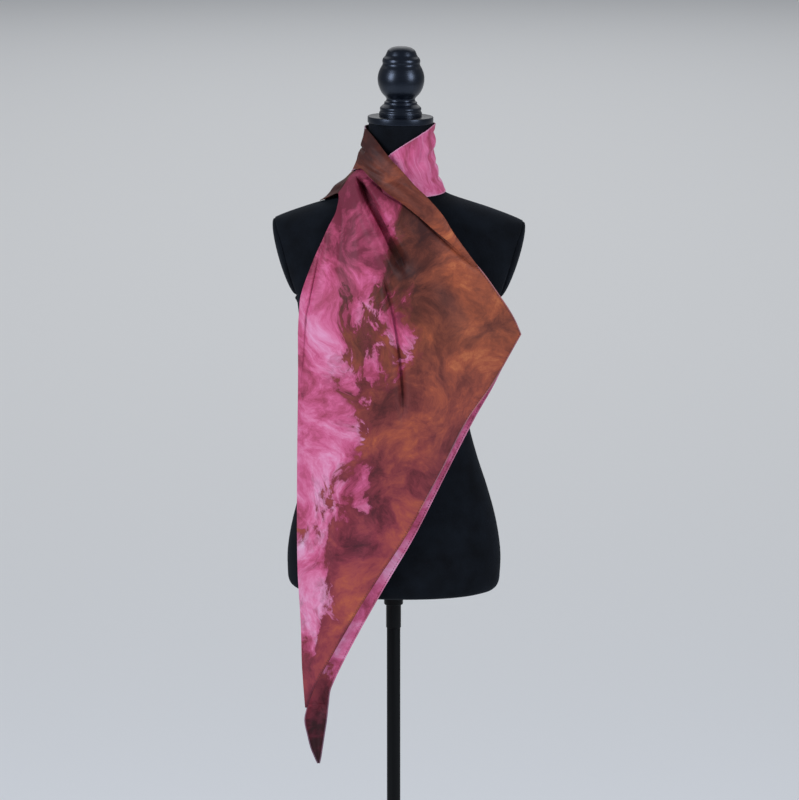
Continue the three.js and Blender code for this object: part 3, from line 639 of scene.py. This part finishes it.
def fall_surface():
    """Shoulder fall: a bulge at the foot of the neck wrap that comes to lie on the shoulder. Its
    height over the shoulder falls from the seam to the rim along the bulge's curve, less its
    creases. Its front end is tucked under the front panel."""
    along, out = shares(FALL_GRID["out"], FALL_GRID["along"])
    angle = mix(FALL["angle"][0], FALL_END, along)
    foot = wrap_points(angle, np.zeros_like(angle))
    start = np.hypot(foot[..., 0], foot[..., 1]) + FALL_SEAM["out"]
    radius = mix(start, smooth(FALL, "angle", angle, "reach"), out)
    turn = np.radians(angle)
    x, depth = radius * np.sin(turn), radius * np.cos(turn)
    inner = foot[..., 2] - FALL_SEAM["down"] - shoulder_height(foot[..., 0], -foot[..., 1])
    lift = mix(smooth(FALL, "angle", angle, "rim_lift"), inner, smooth(FALL_BULGE, "share", out, "rise"))
    tucked = TUCK["depth"] * eased(angle, TUCK)
    creases = folds_depth(FALL_FOLDS, x, depth) * 4 * out * (1 - out)
    z = shoulder_height(x, depth) + lift - tucked - creases
    arc = turn * FALL_ARC + FLAT_FALL["shift"]
    return on_form(x, depth, z), np.stack([arc, z - radius + FLAT_FALL["raised"]], -1)


def torso_surface():
    """Form: level superellipses with a smooth rise between the table's rows, cut off flat at the
    arms, and closed below by rings that shrink to the pole socket and run up inside it."""
    inside = np.linspace(0, 1, SOCKET["steps"])[1:, None]
    heights = np.linspace(FORM["height"][-1], FORM_FOOT, FORM_GRID["down"] + 1)
    angle = circle(FORM_GRID["around"])
    s, c = np.sin(angle), np.cos(angle)
    z = heights[:, None]
    limit = np.where(z > ARM["cut_foot"], arm_face(z), np.inf)
    across = smooth(FORM, "height", z, "half_width") * np.sign(s) * np.abs(s) ** (2 / FORM_POWER)
    deep = np.where(c > 0, smooth(FORM, "height", z, "front"), smooth(FORM, "height", z, "back"))
    depth = deep * np.sign(c) * np.abs(c) ** (2 / FORM_POWER)
    shell = on_form(np.clip(across, -limit, limit), depth, z)
    mouth = SOCKET["mouth"] * on_form(s, c, 0 * s) + [0, 0, FORM_FOOT]
    under = mix(shell[-1], mouth, inside[..., None])
    bore = mix(SOCKET["mouth"], SOCKET["end"], inside)
    up = on_form(bore * s, bore * c, FORM_FOOT + SOCKET["depth"] * inside)
    top, end = (on_form(0 * s, 0 * s, height)[None] for height in (heights[0], FORM_FOOT + SOCKET["depth"]))
    return np.concatenate([top, shell, under, up, end])


def arm_face(z):
    """Distance from the middle to the flat that an arm plate covers."""
    return ARM["face"] + (z - ARM["height"]) * ARM["slope"]


def plate_surface(side):
    """Arm plate: ellipses from the middle of its flat inner face out to its rim and back over a
    dome of elliptical section, tilted onto the arm's flat."""
    rise = np.linspace(0, math.pi / 2, PLATE["rings"])
    size = np.r_[0, 1, np.cos(rise)][:, None]
    out = np.r_[0, 0, PLATE["rim"] + PLATE["dome"] * np.sin(rise)][:, None]
    angle = circle(PLATE_SIDES)
    height = size * PLATE["half_height"] * np.cos(angle)
    depth = size * PLATE["half_depth"] * np.sin(angle)
    slant = math.atan(ARM["slope"])
    x = ARM["face"] + PLATE["gap"] + out * math.cos(slant) + height * math.sin(slant)
    return on_form(side * x, depth, ARM["height"] + height * math.cos(slant) - out * math.sin(slant))


def turned(radii, heights, sides):
    """Turned piece: a profile of radii and heights, listed downwards, spun round the vertical."""
    angle = circle(sides)
    radii, heights = np.asarray(radii, float)[:, None], np.asarray(heights, float)[:, None]
    return on_form(radii * np.sin(angle), radii * np.cos(angle), heights + 0 * angle)


def disc_profile(size):
    """Profile of a disc, rod or ring with rounded rims, downwards from its top's middle. A ring's
    profile starts and ends at its bore."""
    arc = np.linspace(0, math.pi / 2, RIM_STEPS)
    rim, bore = size["rim"], size.get("bore", 0)
    radii = size["radius"] - rim + np.r_[rim * np.sin(arc), rim * np.cos(arc)]
    heights = np.r_[size["top"] - rim + rim * np.cos(arc), size["bottom"] + rim - rim * np.sin(arc)]
    ends = [bore, bore] if bore else [0]
    closing = [size["bottom"], size["top"]] if bore else [size["bottom"]]
    return np.r_[bore, radii, ends], np.r_[size["top"], heights, closing]


def finial_profile():
    """Profile of the finial: the table's rows joined by the smooth cubic, from apex to foot."""
    above = np.linspace(FINIAL["above"][-1], 0, FINIAL_STEPS)
    radii = smooth(FINIAL, "above", above, "radius")
    return np.r_[radii, 0], np.r_[above, 0] + FINIAL_FOOT


# Meshes

def grid_faces(rows, columns, round_it=False):
    """Four-cornered faces of a grid of points. They face the viewer when rows run down and
    columns run right."""
    i, j = np.meshgrid(np.arange(columns - (not round_it)), np.arange(rows - 1))
    a = j * columns + i
    b = j * columns + (i + 1) % columns
    return np.stack([a, a + columns, b + columns, b], -1).reshape(-1, 4)


def make_piece(name, points, faces, material, body, flat=None):
    """Mesh piece from points in millimetres and faces. flat gives each point's place on the flat
    cloth, kept in metres as the UV map."""
    mesh = bpy.data.meshes.new(name)
    mesh.from_pydata((points.reshape(-1, 3) * MM).tolist(), [], faces.tolist())
    if flat is not None:
        corner = np.empty(len(mesh.loops), np.int32)
        mesh.loops.foreach_get("vertex_index", corner)
        layer = mesh.uv_layers.new(name="flat_cloth")
        layer.data.foreach_set("uv", (flat.reshape(-1, 2) * MM)[corner].ravel())
    mesh.materials.append(material)
    mesh.shade_smooth()
    piece = bpy.data.objects.new(name, mesh)
    bpy.context.scene.collection.objects.link(piece)
    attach(piece, body)
    return piece


def make_solid(name, points, material, body):
    """Closed piece from rings of points, listed downwards. Rings shrunk to a point are merged."""
    piece = make_piece(name, points, grid_faces(*points.shape[:2], True), material, body)
    work = bmesh.new()
    work.from_mesh(piece.data)
    bmesh.ops.remove_doubles(work, verts=work.verts, dist=TOUCHING)
    bmesh.ops.dissolve_degenerate(work, edges=work.edges, dist=TOUCHING)
    bmesh.ops.recalc_face_normals(work, faces=work.faces)
    work.to_mesh(piece.data)
    work.free()
    return piece


def sharpen(piece, degrees):
    """Shades a piece smooth, but with sharp edges where faces meet at more than an angle."""
    piece.data.set_sharp_from_angle(angle=math.radians(degrees))


def make_sheet(name, surface, material, node_names):
    """Thin shell of silk on a grid of points. It stands for the CAD nodes named."""
    points, flat = surface
    piece = make_piece(name, lean(points), grid_faces(*points.shape[:2]), material, "form", flat)
    wall = piece.modifiers.new("silk wall", "SOLIDIFY")
    wall.thickness = SILK_WALL * MM
    wall.offset = 0
    wall.use_even_offset = False
    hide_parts(*node_names)
    return piece


def unit(vectors):
    return vectors / np.linalg.norm(vectors, axis=-1, keepdims=True)


def frames_along(path, outwards):
    """Tangent, side and outward directions at each point of a path."""
    tangent = unit(np.gradient(path, axis=0))
    side = unit(np.cross(tangent, outwards))
    return tangent, side, np.cross(side, tangent)


def tube(path, outwards, size):
    """Round tube along a path: circles in the plane across it, closed at both ends by a circle
    shrunk to a point."""
    _, side, out = frames_along(path, outwards)
    angle = circle(size["sides"])[None, :, None]
    round_it = side[:, None] * np.cos(angle) + out[:, None] * np.sin(angle)
    rings = path[:, None] + size["radius"] * round_it
    first, last = (np.repeat(path[end][None, None], size["sides"], 1) for end in (0, -1))
    return np.concatenate([first, rings, last])


def make_edges(name, sheets, size, material):
    """Tubes along edges of sheets, in one piece. Each edge is its points, its outward directions
    and its places on the flat cloth."""
    blocks, faces, flats, count = [], [], [], 0
    for path, outwards, flat in sheets:
        rings = tube(path, outwards, size)
        blocks.append(rings.reshape(-1, 3))
        faces.append(grid_faces(*rings.shape[:2], True) + count)
        around = np.concatenate([flat[:1], flat, flat[-1:]])
        flats.append(np.repeat(around[:, None], size["sides"], 1).reshape(-1, 2))
        count += len(blocks[-1])
    points = lean(np.concatenate(blocks))
    return make_piece(name, points, np.concatenate(faces), material, "form", np.concatenate(flats))


def edge_of(surface, which):
    """One edge of a grid as path, outward directions and flat places. Outward is the grid's own
    normal there, from its steps across and down."""
    points, flat = surface
    across, down = np.gradient(points, axis=1), np.gradient(points, axis=0)
    normal = unit(np.cross(down, across))
    take = {"left": np.s_[:, 0], "right": np.s_[:, -1], "top": np.s_[0], "bottom": np.s_[-1]}[which]
    return points[take], normal[take], flat[take]


def make_stitches(name, edges, material):
    """Hem stitches: small ellipsoids along the edges, a spacing apart and set in from the edge,
    all in one mesh. The template's points are placed by each stitch's own three directions."""
    rings, sides = STITCH["rings"], STITCH["sides"]
    polar = np.linspace(0, math.pi, rings + 1)[:, None]
    turn = circle(sides)
    thick = STITCH["radius"] * np.sin(polar)
    template = np.stack([
        STITCH["length"] / 2 * np.cos(polar) + 0 * turn, thick * np.cos(turn), thick * np.sin(turn)], -1)
    template = template.reshape(-1, 3)
    blocks = []
    for path, outwards, _ in edges:
        steps = np.linalg.norm(np.diff(path, axis=0), axis=1)
        length = np.r_[0, np.cumsum(steps)]
        places = np.arange(STITCH["spacing"], length[-1], STITCH["spacing"])
        tangent, side, out = frames_along(path, outwards)
        spots, t, s, o = (
            np.stack([np.interp(places, length, rows[:, axis]) for axis in range(3)], -1)
            for rows in (path, tangent, side, out)
        )
        centres = spots + s * STITCH["inset"] + o * SILK_WALL
        directions = np.stack([t, s, o], 1)
        blocks.append(centres[:, None] + np.einsum("ka,nab->nkb", template, directions))
    points = np.concatenate(blocks)
    faces = grid_faces(rings + 1, sides, True)[:, ::-1]
    faces = (faces[None] + np.arange(len(points))[:, None, None] * len(template)).reshape(-1, 4)
    return make_piece(name, lean(points), faces, material, "form")


# Materials

WAVE_SCALE = 0.314  # a wave texture of this scale repeats once a metre


def linear(code):
    """Linear colour, with alpha, of an sRGB hex code."""
    values = np.array([int(code[i:i + 2], 16) for i in (1, 3, 5)]) / 255
    return (*np.where(values <= 0.04045, values / 12.92, ((values + 0.055) / 1.055) ** 2.4), 1.0)


def add(tree, kind, inputs=None, stops=(), **settings):
    """Adds a node. Settings are its properties, each input is a value to set, or a socket or node
    to link, and a colour ramp's stops are each a place and an sRGB hex code."""
    node = tree.nodes.new(kind)
    for name, value in settings.items():
        setattr(node, name, value)
    for name, value in (inputs or {}).items():
        if isinstance(value, bpy.types.Node):
            value = value.outputs[0]
        if isinstance(value, bpy.types.NodeSocket):
            tree.links.new(value, node.inputs[name])
        else:
            node.inputs[name].default_value = value
    for place, code in stops[2:]:
        node.color_ramp.elements.new(place)
    for index, (place, code) in enumerate(stops):
        node.color_ramp.elements[index].position = place
        node.color_ramp.elements[index].color = linear(code)
    return node


def new_material(name):
    material = bpy.data.materials.new(name)
    material.use_nodes = True
    material.node_tree.nodes.clear()
    return material, material.node_tree


def finish_material(tree, inputs):
    shader = add(tree, "ShaderNodeBsdfPrincipled", inputs)
    add(tree, "ShaderNodeOutputMaterial", {"Surface": shader.outputs["BSDF"]})


# Sockets of a colour mix: its two inputs and its output
MIX_A, MIX_B, MIXED = 6, 7, 2

# What textures show, in metres: spacings of lines and stitches, and sizes of crinkles and of peel
DRAWN = {"twill": 0.0018, "crinkle": 0.008, "strand": 0.0005, "stitch": 0.0024, "peel": 0.0015}

TONE_PLACES = (0.33, 0.42, 0.49, 0.55, 0.61, 0.7)
PINK_TONES = list(zip(TONE_PLACES, ("#74283b", "#ab4462", "#c95a83", "#d6759a", "#dd90b2", "#e3b0ca")))
BROWN_TONES = list(zip(TONE_PLACES, ("#391815", "#52261d", "#6b3427", "#83422e", "#9e5034", "#c27145")))
WARM_TONES = [(0.3, "#35151c"), (0.38, "#612031"), (0.47, "#903447"), (0.55, "#a54549"), (0.66, "#b85c41")]
MEETING_TONE = "#7a2a38"

# Ranges that the dyes, and the painted shade near the neck, change over, with what each gives at its start
# and its end.
# The first six are over places on the flat cloth in metres, and the last two over the level that parts the
# dyes.
RANGE_INPUTS = ("From Min", "From Max", "To Min", "To Max")
DYE_RANGES = {name: dict(zip(RANGE_INPUTS, row)) for name, *row in (
    ("browner right", -0.335, -0.135, -0.62, -1.42),
    ("browner tip", 0.6, 0.7, -0.9, 0),
    # darkening towards the neck, partly dye and partly painted shade of the collar fold and gather
    ("darker neck, partly painted shade", 1.2, 1.4, 0, -0.2),
    ("darker tip", 0.59, 0.66, -0.2, 0),
    ("lighter right", 0.35, 0.48, 0, 0.1),
    ("warmer low", 1.2, 0.88, 0, 0.7),
    ("shore", -0.02, 0.035, 0, 1),
    ("meeting", 0, 0.14, 0.5, 0),
)}


def dyed_silk(name, wash=0.0, towards="#d9b0c8"):
    """Silk twill, hand dyed: a fine diagonal weave with a soft satin sheen. The dyes have run and
    met in feathered shores, pinks on one side and brown and rust on the other, with crimson where
    they mix. The design is a generic one. Both dyes darken towards the neck, partly as painted shade.
    wash tints it towards a colour: paler for the rolled hems, and dark plum for the low front hem,
    where that tint is painted shade."""
    material, tree = new_material(name)
    flat = add(tree, "ShaderNodeUVMap", uv_map="flat_cloth").outputs["UV"]
    height = add(tree, "ShaderNodeSeparateXYZ", {0: flat}).outputs["Y"]

    def crept(vector, scale, detail, amount):
        """A place on the cloth moved about by noise, as wet dye creeps."""
        wander = add(tree, "ShaderNodeTexNoise", {"Vector": vector, "Scale": scale, "Detail": detail})
        centred = add(tree, "ShaderNodeVectorMath", {
            0: wander.outputs["Color"], 1: (-0.5, -0.5, -0.5)}, operation="ADD")
        return add(tree, "ShaderNodeVectorMath", {
            0: centred, 1: (amount, amount, 0), 2: vector}, operation="MULTIPLY_ADD")

    # Shores wander 14 cm in the large and 3 cm in the small. Pink gives way to brown over 20 cm,
    # along a slanting line, and the tip is brown.
    fine = crept(crept(flat, 5.0, 2.0, 0.14), 28.0, 6.0, 0.03)
    slanted = add(tree, "ShaderNodeVectorMath", {0: flat, 1: (1, -0.17, 0)}, operation="DOT_PRODUCT")
    side = add(tree, "ShaderNodeMapRange", {"Value": slanted.outputs["Value"]} | DYE_RANGES["browner right"])
    tip_share = add(tree, "ShaderNodeMapRange", {"Value": height} | DYE_RANGES["browner tip"])
    field = add(tree, "ShaderNodeMath", {0: side, 1: tip_share}, operation="ADD")
    streaked = add(tree, "ShaderNodeMapping", {
        "Vector": fine, "Rotation": (0, 0, math.radians(28)), "Scale": (1.25, 0.8, 1)})
    blots = add(tree, "ShaderNodeTexNoise", {
        "Vector": streaked, "Scale": 10.0, "Detail": 10.0, "Roughness": 0.66, "Distortion": 0.4})
    level = add(tree, "ShaderNodeMath", {0: blots, 1: 2.0, 2: field}, operation="MULTIPLY_ADD")
    shore = add(tree, "ShaderNodeMapRange", {
        "Value": level} | DYE_RANGES["shore"], interpolation_type="SMOOTHSTEP")
    from_shore = add(tree, "ShaderNodeMath", {0: level}, operation="ABSOLUTE")
    meeting = add(tree, "ShaderNodeMapRange", {"Value": from_shore} | DYE_RANGES["meeting"])

    # Tones inside each dye. Browns are darkest at the tip, lightest at the upper right, and turn to
    #     crimson and rust low down. Both dyes darken towards the neck: partly a darker dye there, and
    #     partly painted shade of the collar fold and the gather.
    # Darker towards the neck: partly dye, partly painted shade of the collar fold and the gather.
    neck_dye_and_shade = add(tree, "ShaderNodeMapRange", {"Value": height} | DYE_RANGES["darker neck, partly painted shade"])
    dark_tip = add(tree, "ShaderNodeMapRange", {"Value": height} | DYE_RANGES["darker tip"])
    upper_right = add(tree, "ShaderNodeVectorMath", {0: flat, 1: (1, 0.3, 0)}, operation="DOT_PRODUCT")
    lighter = add(tree, "ShaderNodeMapRange", {
        "Value": upper_right.outputs["Value"]} | DYE_RANGES["lighter right"])
    pink_blots = add(tree, "ShaderNodeTexNoise", {
        "Vector": streaked, "Scale": 13.0, "Detail": 12.0, "Roughness": 0.7, "Distortion": 0.5})
    pink_place = add(tree, "ShaderNodeMath", {0: pink_blots, 1: neck_dye_and_shade}, operation="ADD")
    pinks = add(tree, "ShaderNodeValToRGB", {"Fac": pink_place}, PINK_TONES)
    brown_blots = add(tree, "ShaderNodeTexNoise", {
        "Vector": fine, "Scale": 9.0, "Detail": 12.0, "Roughness": 0.72, "Distortion": 0.3})
    tipped = add(tree, "ShaderNodeMath", {0: brown_blots, 1: dark_tip}, operation="ADD")
    shaded = add(tree, "ShaderNodeMath", {0: tipped, 1: neck_dye_and_shade}, operation="ADD")
    lit = add(tree, "ShaderNodeMath", {0: shaded, 1: lighter}, operation="ADD")
    browns = add(tree, "ShaderNodeValToRGB", {"Fac": lit}, BROWN_TONES)
    warms = add(tree, "ShaderNodeValToRGB", {"Fac": tipped}, WARM_TONES)
    low_share = add(tree, "ShaderNodeMapRange", {"Value": height} | DYE_RANGES["warmer low"])
    colour = browns.outputs[0]
    for share, other in (
        (low_share, warms),
        (shore, pinks),
        (meeting, linear(MEETING_TONE)),
        (wash, linear(towards)),
    ):
        mixed = add(tree, "ShaderNodeMix", {0: share, MIX_A: colour, MIX_B: other}, data_type="RGBA")
        colour = mixed.outputs[MIXED]

    # Twill lines run on the bias, at 45 degrees to the fold. The real ones are 0.25 mm apart; they
    # are drawn 1.8 mm apart, so that they show.
    bias = add(tree, "ShaderNodeMapping", {"Vector": flat, "Rotation": (0, 0, math.radians(45))})
    twill = add(tree, "ShaderNodeTexWave", {
        "Vector": bias, "Scale": WAVE_SCALE / DRAWN["twill"], "Distortion": 1.5, "Detail": 2.0})
    crinkle = add(tree, "ShaderNodeTexNoise", {"Vector": flat, "Scale": 1 / DRAWN["crinkle"], "Detail": 3.0})
    relief = add(tree, "ShaderNodeMath", {
        0: twill.outputs["Fac"], 1: 0.2, 2: crinkle}, operation="MULTIPLY_ADD")
    bump = add(tree, "ShaderNodeBump", {"Height": relief, "Strength": 0.2, "Distance": 0.0005})
    finish_material(tree, {
        "Base Color": colour,
        "Normal": bump,
        "Roughness": 0.58,
        "IOR": 1.54,
        "Specular IOR Level": 0.2,
        "Sheen Weight": 0.02,
        "Sheen Roughness": 0.4,
    })
    return material


def sewing_silk(name, code):
    """Twisted silk sewing thread: a soft gloss, with its strands as fine slanted ridges."""
    material, tree = new_material(name)
    place = add(tree, "ShaderNodeTexCoord").outputs["Object"]
    strands = add(tree, "ShaderNodeTexWave", {"Vector": place, "Scale": WAVE_SCALE / DRAWN["strand"]})
    bump = add(tree, "ShaderNodeBump", {
        "Height": strands.outputs["Fac"], "Strength": 0.3, "Distance": 0.0002})
    finish_material(tree, {"Base Color": linear(code), "Normal": bump, "Roughness": 0.5, "IOR": 1.54})
    return material


def jersey():
    """Black cotton jersey, brushed, pulled tight over the form: matt, with a faint pale nap at
    grazing light. Its stitches are 0.9 mm; they are drawn 2.4 mm, so that they show."""
    material, tree = new_material("black brushed jersey")
    place = add(tree, "ShaderNodeTexCoord").outputs["Object"]
    mottle = add(tree, "ShaderNodeTexNoise", {"Vector": place, "Scale": 30.0, "Detail": 5.0})
    colour = add(tree, "ShaderNodeValToRGB", {"Fac": mottle}, [(0.3, "#090b0f"), (0.7, "#11151b")])
    stitches = add(tree, "ShaderNodeTexVoronoi", {"Vector": place, "Scale": 1 / DRAWN["stitch"]})
    bump = add(tree, "ShaderNodeBump", {
        "Height": stitches.outputs["Distance"], "Strength": 0.35, "Distance": 0.0006})
    finish_material(tree, {
        "Base Color": colour,
        "Normal": bump,
        "Roughness": 0.95,
        "IOR": 1.5,
        "Specular IOR Level": 0.1,
        "Sheen Weight": 0.08,
        "Sheen Roughness": 0.4,
        "Sheen Tint": linear("#8a97a8"),
    })
    return material


def lacquered_wood():
    """Turned beech under black satin lacquer: a soft clear gloss over faint turning marks."""
    material, tree = new_material("black satin lacquer on beech")
    place = add(tree, "ShaderNodeTexCoord").outputs["Object"]
    stretched = add(tree, "ShaderNodeMapping", {"Vector": place, "Scale": (40, 40, 900)})
    marks = add(tree, "ShaderNodeTexNoise", {"Vector": stretched, "Scale": 1.0, "Detail": 3.0})
    tone = add(tree, "ShaderNodeValToRGB", {"Fac": marks}, [(0.3, "#060910"), (0.7, "#0b1018")])
    rough = add(tree, "ShaderNodeMapRange", {"Value": marks, "To Min": 0.27, "To Max": 0.33})
    bump = add(tree, "ShaderNodeBump", {"Height": marks, "Strength": 0.04, "Distance": 0.0002})
    finish_material(tree, {
        "Base Color": tone,
        "Roughness": rough,
        "Normal": bump,
        "IOR": 1.5,
        "Specular IOR Level": 0.5,
        "Specular Tint": linear("#d3e1fa"),
    })
    return material


def enamel():
    """Black stove enamel on steel: low gloss with a fine orange-peel of about 1.5 mm."""
    material, tree = new_material("black stove enamel on steel")
    place = add(tree, "ShaderNodeTexCoord").outputs["Object"]
    peel = add(tree, "ShaderNodeTexNoise", {"Vector": place, "Scale": 1 / DRAWN["peel"], "Detail": 2.0})
    tone = add(tree, "ShaderNodeValToRGB", {"Fac": peel}, [(0.3, "#030405"), (0.7, "#060709")])
    bump = add(tree, "ShaderNodeBump", {"Height": peel, "Strength": 0.2, "Distance": 0.0002})
    finish_material(tree, {
        "Base Color": tone,
        "Normal": bump,
        "Roughness": 0.5,
        "IOR": 1.5,
        "Specular IOR Level": 0.15,
    })
    return material


def studio_floor():
    """Plain pale painted floor, matt."""
    material, tree = new_material("pale matt floor paint")
    finish_material(tree, {"Base Color": linear("#e6e8ea"), "Roughness": 0.9})
    return material


# Scarf

silk = dyed_silk("hand dyed silk twill")
# The low front hem's tint towards dark plum is painted shade, where the hem rolls over the rear layer.
hem_shade_silk = dyed_silk("hand dyed silk, rolled hem darkened as painted shade", wash=0.45, towards="#3a1420")
hem_silk = dyed_silk("hand dyed silk, rolled hem", wash=0.2)
pale_silk = dyed_silk("hand dyed silk, pale rolled hem", wash=0.4)
dark_thread = sewing_silk("plum sewing silk", "#4a2230")

front, rear = front_surface(), rear_surface()
tip = tip_surface(rear[0])
wrap, collar, fall = wrap_surface(), collar_surface(), fall_surface()
SHEETS = {
    "front_silk": (front, "silk_brown", ["front_panel"]),
    "rear_silk": (rear, "silk_pink", ["rear_panel"]),
    "tip_silk": (tip, "silk_brown", ["scarf_tip"]),
    "neck_silk": (wrap, "silk_pink", ["neck_wrap_right", "neck_wrap_back", "neck_wrap_left"]),
    "collar_silk": (collar, "silk_brown", ["collar_fold"]),
    "shoulder_silk": (fall, "silk_brown", ["shoulder_fall"]),
}
sheets = {
    name: make_sheet(name, surface, silk, nodes) for name, (surface, slot, nodes) in SHEETS.items()}

front_edge, rear_edge = edge_of(front, "right"), edge_of(rear, "right")
change = int(np.argmax(front_edge[0][:, 2] < HEM_DARK_BELOW))
HEMS = {
    "front_hem": ([tuple(values[:change + 1] for values in front_edge)], HEM, hem_silk),
    "front_low_hem": ([tuple(values[change:] for values in front_edge)], HEM, hem_shade_silk),
    "rear_hem": ([rear_edge], HEM, hem_silk),
    "tip_hem": ([edge_of(tip, "left"), edge_of(tip, "right")], HEM, hem_silk),
    "neck_edges": ([edge_of(wrap, "top"), edge_of(wrap, "bottom")], HEM, pale_silk),
    "collar_edges": ([edge_of(collar, "top"), edge_of(collar, "bottom")], FOLD_EDGE, silk),
    "shoulder_edge": ([edge_of(fall, "bottom")], FOLD_EDGE, silk),
}
sewing = {name: make_edges(name, *what) for name, what in HEMS.items()}
for name, edge in (("front_stitches", front_edge), ("rear_stitches", rear_edge)):
    sewing[name] = make_stitches(name, [edge], dark_thread)



# Dress form and stand

cotton, lacquer, paint = jersey(), lacquered_wood(), enamel()


def make_turned(name, profile, material, body, sides=STAND_SIDES):
    points = turned(*profile, sides)
    return make_solid(name, lean(points) if body == "form" else points, material, body)


torso = make_solid("torso_jersey", lean(torso_surface()), cotton, "form")
left_arm = make_solid("arm_jersey_left", lean(plate_surface(-1)), cotton, "form")
right_arm = make_solid("arm_jersey_right", lean(plate_surface(1)), cotton, "form")
cap = make_turned("cap_wood", disc_profile(CAP), lacquer, "form", TURNED_SIDES)
knob = make_turned("finial_wood", finial_profile(), lacquer, "form", TURNED_SIDES)
TURNED = [
    ("base_disc", BASE, "stand", "base_plate"),
    ("base_socket", HUB, "stand", "base_hub"),
    ("lower_tube", LOWER_POLE, "stand", "pole_lower"),
    ("upper_tube", UPPER_POLE, "stand", "pole_upper"),
    ("collar_ring", COLLAR, "collar", "pole_collar"),
]
for name, size, body, node in TURNED:
    piece = make_turned(name, disc_profile(size), paint, body)
    sharpen(piece, SHARP["stand"])
    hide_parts(node)
across, aside, out = np.moveaxis(turned(*disc_profile(SCREW), SCREW["sides"]), -1, 0)
lying = np.stack([COLLAR["radius"] + SCREW["gap"] + out, aside, SCREW["height"] - across], -1)
screw = make_solid("screw_head", lying, paint, "collar")
for piece, node, slot in (
    (screw, "set_screw", "black_enamel"),
    (torso, "form_torso", "black_jersey"),
    (left_arm, "arm_plate_left", "black_jersey"),
    (right_arm, "arm_plate_right", "black_jersey"),
    (cap, "neck_cap", "lacquered_wood"),
    (knob, "finial", "lacquered_wood"),
):
    sharpen(piece, SHARP["rest"])
    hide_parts(node)


# Studio

def place_lamp(name, size, power, place, turn, colour="#ffffff"):
    """Rectangular area lamp. Its size and place are in metres, and it turns by Euler angles."""
    lamp = bpy.data.lights.new(name, "AREA")
    lamp.shape = "RECTANGLE"
    lamp.size, lamp.size_y = size
    lamp.energy = power
    lamp.color = linear(colour)[:3]
    holder = bpy.data.objects.new(name, lamp)
    holder.location = place
    holder.rotation_euler = turn
    bpy.context.scene.collection.objects.link(holder)


def make_studio():
    """Camera where the photograph's was, two softboxes to the sides, a pale sky, a floor, and a
    lamp over the floor behind."""
    scene = bpy.context.scene
    lens = bpy.data.cameras.new("camera")
    lens.lens, lens.sensor_width, lens.sensor_fit = CAMERA["focal"], CAMERA["sensor"], "HORIZONTAL"
    lens.clip_end = SIGHT
    camera = bpy.data.objects.new("camera", lens)
    pitch = math.atan2(CAMERA["height"] - CAMERA["target"], CAMERA["distance"])
    camera.location = (CAMERA["x"] * MM, -CAMERA["distance"] * MM, CAMERA["height"] * MM)
    camera.rotation_euler = (math.pi / 2 - pitch, 0, 0)
    scene.collection.objects.link(camera)
    scene.camera = camera
    scene.view_settings.view_transform = "Standard"
    away, azimuth = SOFTBOX["distance"], math.radians(SOFTBOX["azimuth"])
    drop = math.atan2(SOFTBOX["height"] - SOFTBOX["target"], away)
    for side, power in zip((-1, 1), SOFTBOX_POWERS):
        place = (side * away * math.sin(azimuth), -away * math.cos(azimuth), SOFTBOX["height"])
        turn = (math.pi / 2 - drop, 0, side * azimuth)
        place_lamp("softbox", SOFTBOX["size"], power, place, turn, LAMP_COLOUR)
    place_lamp("floor light", POOL["size"], POOL["power"], (0, POOL["behind"], POOL["height"]), (0, 0, 0))
    world = bpy.data.worlds.new("studio")
    world.use_nodes = True
    sky = world.node_tree.nodes["Background"].inputs
    sky["Color"].default_value = linear(SKY["colour"])
    sky["Strength"].default_value = SKY["strength"]
    scene.world = world
    corners = [(x * FLOOR_HALF, y * FLOOR_HALF, 0) for x, y in ((-1, -1), (1, -1), (1, 1), (-1, 1))]
    mesh = bpy.data.meshes.new("floor")
    mesh.from_pydata(corners, [], [(0, 1, 2, 3)])
    mesh.materials.append(studio_floor())
    floor = bpy.data.objects.new("floor", mesh)
    scene.collection.objects.link(floor)


make_studio()
bpy.context.view_layer.update()
